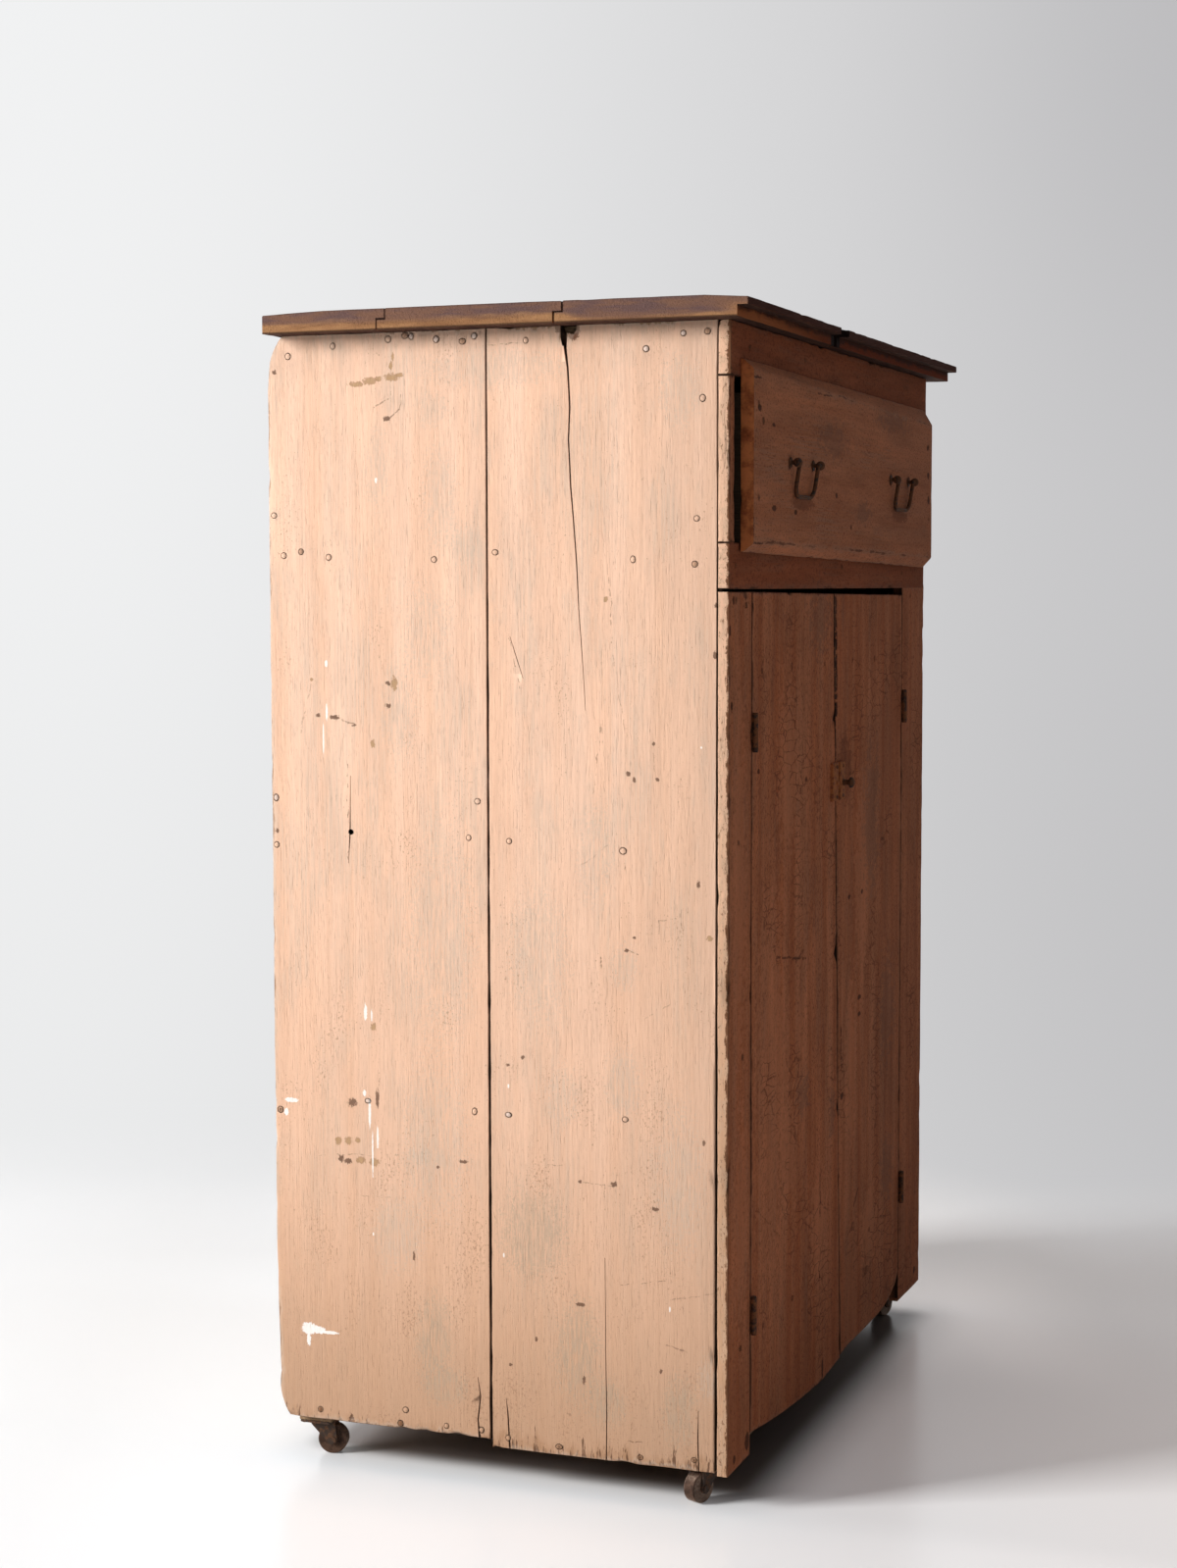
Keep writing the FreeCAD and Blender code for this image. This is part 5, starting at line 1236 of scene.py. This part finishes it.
def plank_tree():
    tree = new_tree("plank_wall",
                    [("Start", "Vector", None), ("Width", "Float", 0.785), ("Height", "Float", 1.153),
                     ("Thickness", "Float", 0.012), ("Board Count", "Int", 4), ("Joint", "Float", 0.0001),
                     ("Ease", "Float", 0.0012), ("Wear", "Float", 0.0008), ("Finish", "Material", None)])
    given = tree.nodes.new("NodeGroupInput").outputs
    count = given["Board Count"]
    gaps = times(tree, calc(tree, "SUBTRACT", count, 1.0), given["Joint"])
    wide = calc(tree, "DIVIDE", calc(tree, "SUBTRACT", given["Width"], gaps), count)
    size = joined(tree, {0: wide, 1: given["Thickness"], 2: given["Height"]})
    box = geo(tree, "MeshCube", {"Size": size, "Vertices X": 17, "Vertices Y": 5, "Vertices Z": 90})
    spot = parts(tree, geo(tree, "InputPosition").outputs[0])
    half = calc(tree, "DIVIDE", wide, 2.0)
    inward = rest(tree, calc(tree, "DIVIDE", calc(tree, "ABSOLUTE", spot[0]), half))
    crowded = times(tree, half, rest(tree, times(tree, inward, inward)))
    deep = calc(tree, "SUBTRACT", half, crowded)
    on_face = calc(tree, "GREATER_THAN", calc(tree, "ABSOLUTE", spot[1]),
                   times(tree, given["Thickness"], 0.49))
    near = calc(tree, "MAXIMUM", 0.0, rest(tree, calc(tree, "DIVIDE", deep, given["Ease"])))
    back = times(tree, times(tree, near, given["Ease"]), on_face)
    x = times(tree, calc(tree, "SIGN", spot[0]), calc(tree, "SUBTRACT", crowded, back))
    y = calc(tree, "SUBTRACT", spot[1], times(tree, calc(tree, "SIGN", spot[1]), back))
    eased = joined(tree, {0: x, 1: y, 2: spot[2]})
    plank = stored(tree, box.outputs["Mesh"], "edge",
                   calc(tree, "MAXIMUM", 0.0, rest(tree, calc(tree, "DIVIDE", deep, EDGE_REACH))))
    plank = moved(tree, plank, Position=eased)
    step = joined(tree, {0: calc(tree, "ADD", wide, given["Joint"])})
    first = joined(tree, {0: half, 1: calc(tree, "DIVIDE", given["Thickness"], 2.0),
                          2: calc(tree, "DIVIDE", given["Height"], 2.0)})
    start = vector_calc(tree, "ADD", given["Start"], first)
    line = geo(tree, "MeshLine", {"Count": count, "Start Location": start, "Offset": step}).outputs[0]
    number = geo(tree, "InputIndex").outputs[0]
    line = stored(tree, line, "board", calc(tree, "ADD", number, FIRST_PLANK))
    wall = geo(tree, "InstanceOnPoints", {"Points": line, "Instance": plank}).outputs[0]
    wall = geo(tree, "RealizeInstances", {"Geometry": wall}).outputs[0]
    rough = add(tree, "TexNoise", {"Scale": 22.0, "Detail": 3.0, "Roughness": 0.7}).outputs[0]
    share = calc(tree, "MULTIPLY_ADD", carried(tree, "edge"), 0.8, 0.2)
    loss = times(tree, times(tree, rough, given["Wear"]), share)
    normal = geo(tree, "InputNormal").outputs[0]
    on_face = parts(tree, normal)[1]
    loss = times(tree, loss, calc(tree, "ABSOLUTE", on_face))
    wall = moved(tree, wall, Offset=scaled(tree, normal, times(tree, loss, -1.0)))
    finished(tree, wall, given)
    return tree


planks = ["back_board_%d" % (i + 1) for i in range(4)]
low = Vector(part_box(planks[0])[0])
high = Vector(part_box(planks[3])[1])
back_wall = grown("back_wall", plank_tree(), [(0, 0, 0)], {
    "Start": low, "Width": high.x - low.x, "Height": high.z - low.z, "Thickness": high.y - low.y,
    "Finish": inner_woods["Z"]})
back_wall.data.set_sharp_from_angle(angle=CREASE)
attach(back_wall, "case")
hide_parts(*planks)
print("back wall faces", len(back_wall.data.polygons))

# %% [markdown]
# ## Nails
# Rows of nails hold the sides to the shelves, runners and top. No two look alike: some heads are
# painted over and only show as a faint ring, some are worn bright, some rust through, and some are
# gone and leave a hole, a flat disc painted near black as its shade and dirt. Each measured point
# carries its kind, and the head's own finish mixes ring, metal, rust and hole from that.

# %% Nail places: (y, z) on the left side, (x, z) on the front

NAIL_KINDS = {"faint": (0.30, 0.0, 0.0, 0.0), "ring": (0.58, 0.0, 0.0, 0.0), "bright": (0.95, 0.5, 0.0, 0.0),
              "hole": (0.3, 0.0, 1.0, 0.0), "rusty": (0.45, 0.0, 0.0, 0.55), "dark": (0.7, 0.0, 0.5, 0.5)}
SIDE_NAILS = {"faint": [(419, 1146), (356, 1151), (478, 930), (490, 625), (259, 677), (89, 924), (489, 972),
                        (98, 357), (345, 29), (298, 17)],
              "ring": [(471, 1137), (426, 928), (306, 925), (269, 639), (238, 932), (22, 964), (224, 637),
                       (100, 631), (264, 354), (258, 17), (228, 12), (16, 1082), (203.5, 1144.6)],
              "bright": [(330, 1153), (302, 1149), (260, 1151), (490, 675), (226, 353), (75, 1132),
                         (386, 357), (36, 1146)], "hole": [(403, 641)],
              "rusty": [(273, 1146), (337, 1154), (458, 934), (24, 919), (445, 19), (351, 14), (11, 1147)],
              "dark": [(489, 341), (171, 9), (82, 8), (24, 12)]}
FRONT_NAILS = {
    "door_stile_left": ("dark", [(21, 883), (55, 878), (7, 776), (40, 120), (45, 420), (30, 640)]),
    "door_stile_right": ("dark", [(745, 884), (780, 700), (760, 380), (790, 120)]),
    "top_rail": ("dark", [(60, 1135), (260, 1138), (480, 1136), (700, 1138)]),
    "middle_rail": ("dark", [(18, 918), (420, 918), (700, 912)]),
    "door_left": ("ring", [(120, 122), (230, 124), (340, 121), (110, 810), (220, 812), (350, 811)]),
    "door_right": ("ring", [(480, 122), (560, 124), (660, 121), (470, 812), (570, 811), (670, 812)]),
    "drawer_front": ("dark", [(44, 1078), (45, 985), (770, 1070), (772, 980), (60, 1062), (400, 962)])}
BACK_NAILS = [(x0 + dx, z) for x0 in (16, 213, 409, 606) for dx in (22, 172) for z in (14, 354, 635, 1148)]

# %% Nail heads


def nail_tree():
    tree = new_tree("nail_heads", [("Head Radius", "Float", 0.0027), ("Stain Radius", "Float", 0.0036),
                                   ("Dome", "Float", 0.0005), ("Seed", "Int", 4),
                                   ("Finish", "Material", None)])
    given = tree.nodes.new("NodeGroupInput").outputs
    head, stain = given["Head Radius"], given["Stain Radius"]
    disc = geo(tree, "MeshCone", {"Vertices": 16, "Side Segments": 9, "Fill Segments": 1,
                                  "Radius Top": 0.0003, "Radius Bottom": stain, "Depth": 0.0001})
    spot = geo(tree, "InputPosition").outputs[0]
    flat = vector_calc(tree, "MULTIPLY", spot, (1.0, 1.0, 0.0))
    radius = measure(tree, "LENGTH", flat)
    inside = calc(tree, "LESS_THAN", radius, head)
    share = calc(tree, "DIVIDE", radius, head)
    dome = times(tree, given["Dome"], calc(tree, "SUBTRACT", 1.2, times(tree, share, share)))
    gap = distance(tree, radius, head)
    ring = rest(tree, calc(tree, "DIVIDE", gap, calc(tree, "SUBTRACT", stain, head)))
    shape = stored(tree, disc.outputs["Mesh"], "ring_shape", calc(tree, "MAXIMUM", 0.0, ring))
    shape = stored(tree, shape, "head_shape", inside)
    shape = stored(tree, shape, "hole_shape", calc(tree, "LESS_THAN", radius, times(tree, head, 0.62)))
    shape = stored(tree, shape, "rise", times(tree, inside, dome))
    shape = moved(tree, shape, Position=flat)
    turn = function(tree, "AlignRotationToVector", {"Vector": carried(tree, "facing", "FLOAT_VECTOR")},
                    axis="Z")[0]
    size = function(tree, "RandomValue", {"Min": (0.8,) * 3, "Max": (1.15,) * 3, "Seed": given["Seed"]},
                    data_type="FLOAT_VECTOR")[0]
    heads = geo(tree, "InstanceOnPoints", {"Points": given["Geometry"], "Instance": shape, "Rotation": turn,
                                           "Scale": size}).outputs[0]
    real = geo(tree, "RealizeInstances", {"Geometry": heads}).outputs[0]
    solid = rest(tree, carried(tree, "hole"))
    lift = calc(tree, "MULTIPLY_ADD", times(tree, carried(tree, "rise"), solid), 1.0, 0.00006)
    real = moved(tree, real, Offset=scaled(tree, carried(tree, "facing", "FLOAT_VECTOR"), lift))
    uneven = add(tree, "TexNoise", {"Scale": 420.0, "Detail": 2.0}).outputs[0]
    uneven = add(tree, "MapRange", {"Value": uneven, "From Min": 0.38, "From Max": 0.6}).outputs[0]
    worn = times(tree, carried(tree, "ring_shape"), carried(tree, "ring"))
    real = stored(tree, real, "nail_ring", times(tree, worn, uneven))
    for label, shown in (("bright", "head_shape"), ("hole", "hole_shape"), ("rust", "head_shape")):
        real = stored(tree, real, "nail_" + label, times(tree, carried(tree, shown), carried(tree, label)))
    finished(tree, real, given)
    return tree


NAILS = nail_tree()
board_numbers = {n: b.data.attributes["board"].data[0].value for n, b in weathered_boards.items()}


def nails(name, spots, body, finish, slot, seed, **sizes):
    """spots: (place in metres, facing, kind, board under the nail); one mesh of heads for one body."""
    points, facings, kinds, boards = zip(*spots)
    marks = {"facing": facings, "board": [board_numbers.get(board, FIRST_PLANK) for board in boards]}
    for index, label in enumerate(("ring", "bright", "hole", "rust")):
        marks[label] = [NAIL_KINDS[kind][index] for kind in kinds]
    thing = grown(name, NAILS, points, {"Seed": seed, "Finish": finish, **sizes}, marks)
    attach(thing, body)
    return thing


SMALL = {"Head Radius": 0.0021, "Stain Radius": 0.0034}
FRONT_FINISHES = {"top_rail": level_paint, "middle_rail": level_paint, "drawer_front": drawer_paint}
PROUD = 0.03
BACK_FACE = 487.0
ABOVE_FOOT = 12
side_spots = []
for kind, spots in SIDE_NAILS.items():
    for y, z in spots:
        half = "front" if y < 247 else "back"
        side_spots.append((place(-PROUD, y, z), LEFT, kind, "side_board_left_" + half))
        if z > ABOVE_FOOT:
            side_spots.append((place(CASE_WIDTH + PROUD, y, z), RIGHT, kind, "side_board_right_" + half))
made = [nails("side_nails", side_spots, "case", side_paint, "outside_wood", 3)]
for node, (kind, spots) in FRONT_NAILS.items():
    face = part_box(node)[0][1] - PROUD / 1000
    finish = FRONT_FINISHES.get(node, upright_paint)
    body = nodes[node]["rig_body"]
    heads = [(Vector((place(x, 0, z).x, face, place(x, 0, z).z)), FRONT, kind, node) for x, z in spots]
    made.append(nails(node + "_nails", heads, body, finish, "front_wood", 5, **SMALL))
back_spots = [(place(x, BACK_FACE + PROUD, z), BACK, "rusty", "back") for x, z in BACK_NAILS]
made.append(nails("back_nails", back_spots, "case", inner_woods["Z"], "bare_wood", 9, **SMALL))
print("nails", {thing.name: len(thing.data.polygons) for thing in made})

# %% [markdown]
# ## Screws
# The latch is held by small slotted screws. A screw head is a low cone with a slot cut out; the
# tree cuts it once, sets it on each point and turns every slot to a different angle.

# %% Screw heads

HALF_TURN = 3.1


def screw_tree():
    tree = new_tree("screw_heads", [("Head Radius", "Float", 0.0024), ("Head Height", "Float", 0.0007),
                                    ("Slot Width", "Float", 0.0007), ("Seed", "Int", 2),
                                    ("Finish", "Material", None)])
    given = tree.nodes.new("NodeGroupInput").outputs
    top = times(tree, given["Head Radius"], 0.7)
    head = geo(tree, "MeshCone", {"Vertices": 20, "Radius Top": top, "Radius Bottom": given["Head Radius"],
                                  "Depth": given["Head Height"]}).outputs["Mesh"]
    long = times(tree, given["Head Radius"], 3.0)
    size = joined(tree, {0: long, 1: given["Slot Width"], 2: given["Head Height"]})
    slot = geo(tree, "MeshCube", {"Size": size}).outputs["Mesh"]
    high = joined(tree, {2: times(tree, given["Head Height"], 0.95)})
    slot = geo(tree, "Transform", {"Geometry": slot, "Translation": high}).outputs[0]
    cut = geo(tree, "MeshBoolean", {"Mesh 1": head, "Mesh 2": slot}, operation="DIFFERENCE").outputs[0]
    facing = carried(tree, "facing", "FLOAT_VECTOR")
    aligned = function(tree, "AlignRotationToVector", {"Vector": facing}, axis="Z")[0]
    angle = function(tree, "RandomValue", {2: 0.0, 3: HALF_TURN, "Seed": given["Seed"]},
                     data_type="FLOAT")[1]
    spin = function(tree, "AxisAngleToRotation", {"Axis": UP, "Angle": angle})[0]
    turned = function(tree, "RotateRotation", {"Rotation": aligned, "Rotate By": spin},
                      rotation_space="LOCAL")[0]
    heads = geo(tree, "InstanceOnPoints",
                {"Points": given["Geometry"], "Instance": cut, "Rotation": turned}).outputs[0]
    finished(tree, heads, given)
    return tree


SCREWS = screw_tree()
for node, body in (("latch_case", "right_door"), ("latch_keeper", "left_door")):
    low, high = (Vector(corner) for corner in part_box(node))
    middle = (low.x + high.x) / 2
    spots = [Vector((middle, low.y, low.z + 0.0045)), Vector((middle, low.y, high.z - 0.0045))]
    screws = grown(node + "_screws", SCREWS, spots, {"Finish": black_iron, "Seed": 3},
                   {"facing": [FRONT, FRONT]})
    screws.data.set_sharp_from_angle(angle=CREASE)
    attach(screws, body)
    print(screws.name, len(screws.data.polygons))

# %% [markdown]
# ## The studio
# A pale floor sweeps up into a pale wall. The photograph is lit by one large soft window from the
# left and behind, so the side is bright, the front is in shade, and the shadow falls towards the
# viewer's right. The wall shows a pale colour with a painted light falloff to the camera and to
# reflections only, so it adds no light, and from behind it is see-through. The floor carries a
# painted contact shadow under the cupboard and a painted glow around it for the camera.

# %% Floor and wall

RIGHTWARD = Vector((0.352, -0.936, 0.0))
AWAY = Vector((0.936, 0.352, 0.0))
FLOOR_END = 1.15
SWEEP = 0.7


def sweep_profile():
    points = [(-6.0, 0.0), (-3.0, 0.0), (FLOOR_END, 0.0)]
    for k in range(1, 17):
        turn = math.radians(90 * k / 16)
        points.append((FLOOR_END + SWEEP * math.sin(turn), SWEEP * (1 - math.cos(turn))))
    return points + [(FLOOR_END + SWEEP, 5.0)]


def studio_sweep():
    shape = bmesh.new()
    rows = [[shape.verts.new(AWAY * d + RIGHTWARD * w + Vector((0, 0, h))) for w in (-6, -3, 0, 3, 6)]
            for d, h in sweep_profile()]
    for first, second in zip(rows, rows[1:]):
        for k in range(4):
            shape.faces.new((first[k], first[k + 1], second[k + 1], second[k]))
    bmesh.ops.recalc_face_normals(shape, faces=shape.faces)
    shape.normal_update()
    if shape.faces[:][0].normal.z < 0:
        bmesh.ops.reverse_faces(shape, faces=shape.faces)
    for face in shape.faces:
        face.smooth = True
    return loose_object("studio_sweep", shape)


def studio_material():
    material, tree, shader, output = new_material("studio_white")
    coords = add(tree, "TexCoord").outputs["Object"]
    across = measure(tree, "DOT_PRODUCT", coords, RIGHTWARD)
    away = measure(tree, "DOT_PRODUCT", coords, AWAY)
    height = parts(tree, coords)[2]
    shader.inputs["Roughness"].default_value = 0.22
    shader.inputs["Specular IOR Level"].default_value = 0.5
    # Painted light falloff on the wall: darker to the right, a little darker low down, and darker at the top
    # right.
    color = mixed(tree, mask(tree, across, -1.2, 1.3), rgb(0.88, 0.885, 0.89), rgb(0.56, 0.555, 0.565))
    color = mixed(tree, mask(tree, height, 1.5, 0.0), color, rgb(0.95, 0.95, 0.95), "MULTIPLY")
    corner = times(tree, mask(tree, height, 0.9, 1.9), mask(tree, across, 0.3, 1.1))
    color = mixed(tree, corner, color, rgb(0.90, 0.90, 0.905), "MULTIPLY")
    glow = add(tree, "Emission", {"Color": color, "Strength": 1.0}).outputs[0]
    seen = add(tree, "LightPath").outputs
    pictured = calc(tree, "MAXIMUM", seen["Is Camera Ray"],
                    calc(tree, "MAXIMUM", seen["Is Glossy Ray"], seen["Is Transmission Ray"]))
    box = vector_calc(tree, "ABSOLUTE", coords)
    beyond = vector_calc(tree, "SUBTRACT", box, (0.35, 0.225, 9.0))
    beyond = vector_calc(tree, "MAXIMUM", beyond, (0.0, 0.0, 0.0))
    beyond = measure(tree, "LENGTH", beyond)
    base = mixed(tree, pictured, rgb(0.72, 0.72, 0.72), rgb(0.9, 0.9, 0.9))
    # Painted contact shadow: the floor turns dark brown under the cupboard.
    under = times(tree, mask(tree, beyond, 0.05, 0.0), 0.86)
    tree.links.new(mixed(tree, under, base, rgb(0.10, 0.060, 0.045)), shader.inputs["Base Color"])
    # Painted light on the floor: a glow for the camera and reflections, none under the cupboard and rising
    # within 10 cm of it, stronger towards the front and the right, at the right end and beside the left
    # side, weaker far to the left.
    near = calc(tree, "MULTIPLY_ADD", mask(tree, away, 0.5, -0.5), 0.10, 0.08)
    near = calc(tree, "MULTIPLY_ADD", mask(tree, across, 0.2, 1.0), 0.05, near)
    lit = times(tree, mask(tree, beyond, 0.0, 0.10), near)
    x = parts(tree, coords)[0]
    end = times(tree, mask(tree, x, 0.05, 0.35), mask(tree, beyond, 0.0, 0.05))
    end = times(tree, end, times(tree, mask(tree, across, 0.62, 0.40), mask(tree, away, 0.6, 0.3)))
    lit = calc(tree, "MULTIPLY_ADD", end, 0.10, lit)
    side = times(tree, mask(tree, x, -0.38, -0.46), mask(tree, across, -0.45, -0.2))
    lit = calc(tree, "MULTIPLY_ADD", side, 0.05, lit)
    lit = times(tree, lit, calc(tree, "MULTIPLY_ADD", mask(tree, across, -0.4, -0.7), -0.5, 1.0))
    # The painted glow is cool on the left and warm on the right.
    tree.links.new(mixed(tree, mask(tree, across, -0.3, 0.6), rgb(0.86, 0.98, 1.08), rgb(1.1, 0.96, 0.9)),
                   shader.inputs["Emission Color"])
    tree.links.new(times(tree, pictured, lit), shader.inputs["Emission Strength"])
    reach = calc(tree, "MULTIPLY_ADD", mask(tree, across, 0.3, 0.7), 0.35, away)
    wall = times(tree, mask(tree, reach, 0.75, 1.4), pictured)
    body = add(tree, "MixShader", {0: wall, 1: shader.outputs[0], 2: glow}).outputs[0]
    behind = add(tree, "NewGeometry").outputs["Backfacing"]
    clear = add(tree, "BsdfTransparent").outputs[0]
    final = add(tree, "MixShader", {0: behind, 1: body, 2: clear}).outputs[0]
    tree.links.new(final, output.inputs["Surface"])
    return material


floor = studio_sweep()
floor.data.materials.append(studio_material())
print("floor faces", len(floor.data.polygons))

# %% Lamps and world


def soft_lamp(name, spot, target, size, power):
    lamp = bpy.data.lights.new(name, "AREA")
    lamp.shape = "RECTANGLE"
    lamp.size = size[0]
    lamp.size_y = size[1]
    lamp.energy = power
    thing = bpy.data.objects.new(name, lamp)
    thing.location = spot
    thing.rotation_euler = (Vector(target) - Vector(spot)).to_track_quat("-Z", "Y").to_euler()
    bpy.context.scene.collection.objects.link(thing)
    return thing


soft_lamp("window", spot=(-4.08, 4.94, 2.9), target=(0.0, 0.0, 0.5), size=(1.9, 2.3), power=620.0)
world = bpy.data.worlds.new("studio")
world.use_nodes = True
tree = world.node_tree
tree.nodes.clear()
seen = add(tree, "LightPath").outputs
pictured = calc(tree, "MAXIMUM", seen["Is Camera Ray"], seen["Is Glossy Ray"])
color = mixed(tree, pictured, rgb(0.10, 0.10, 0.105), rgb(0.72, 0.72, 0.73))
sky = add(tree, "Background", {"Color": color, "Strength": 1.0})
add(tree, "OutputWorld", {"Surface": sky.outputs[0]})
bpy.context.scene.world = world
bpy.context.scene.view_settings.view_transform = "Standard"
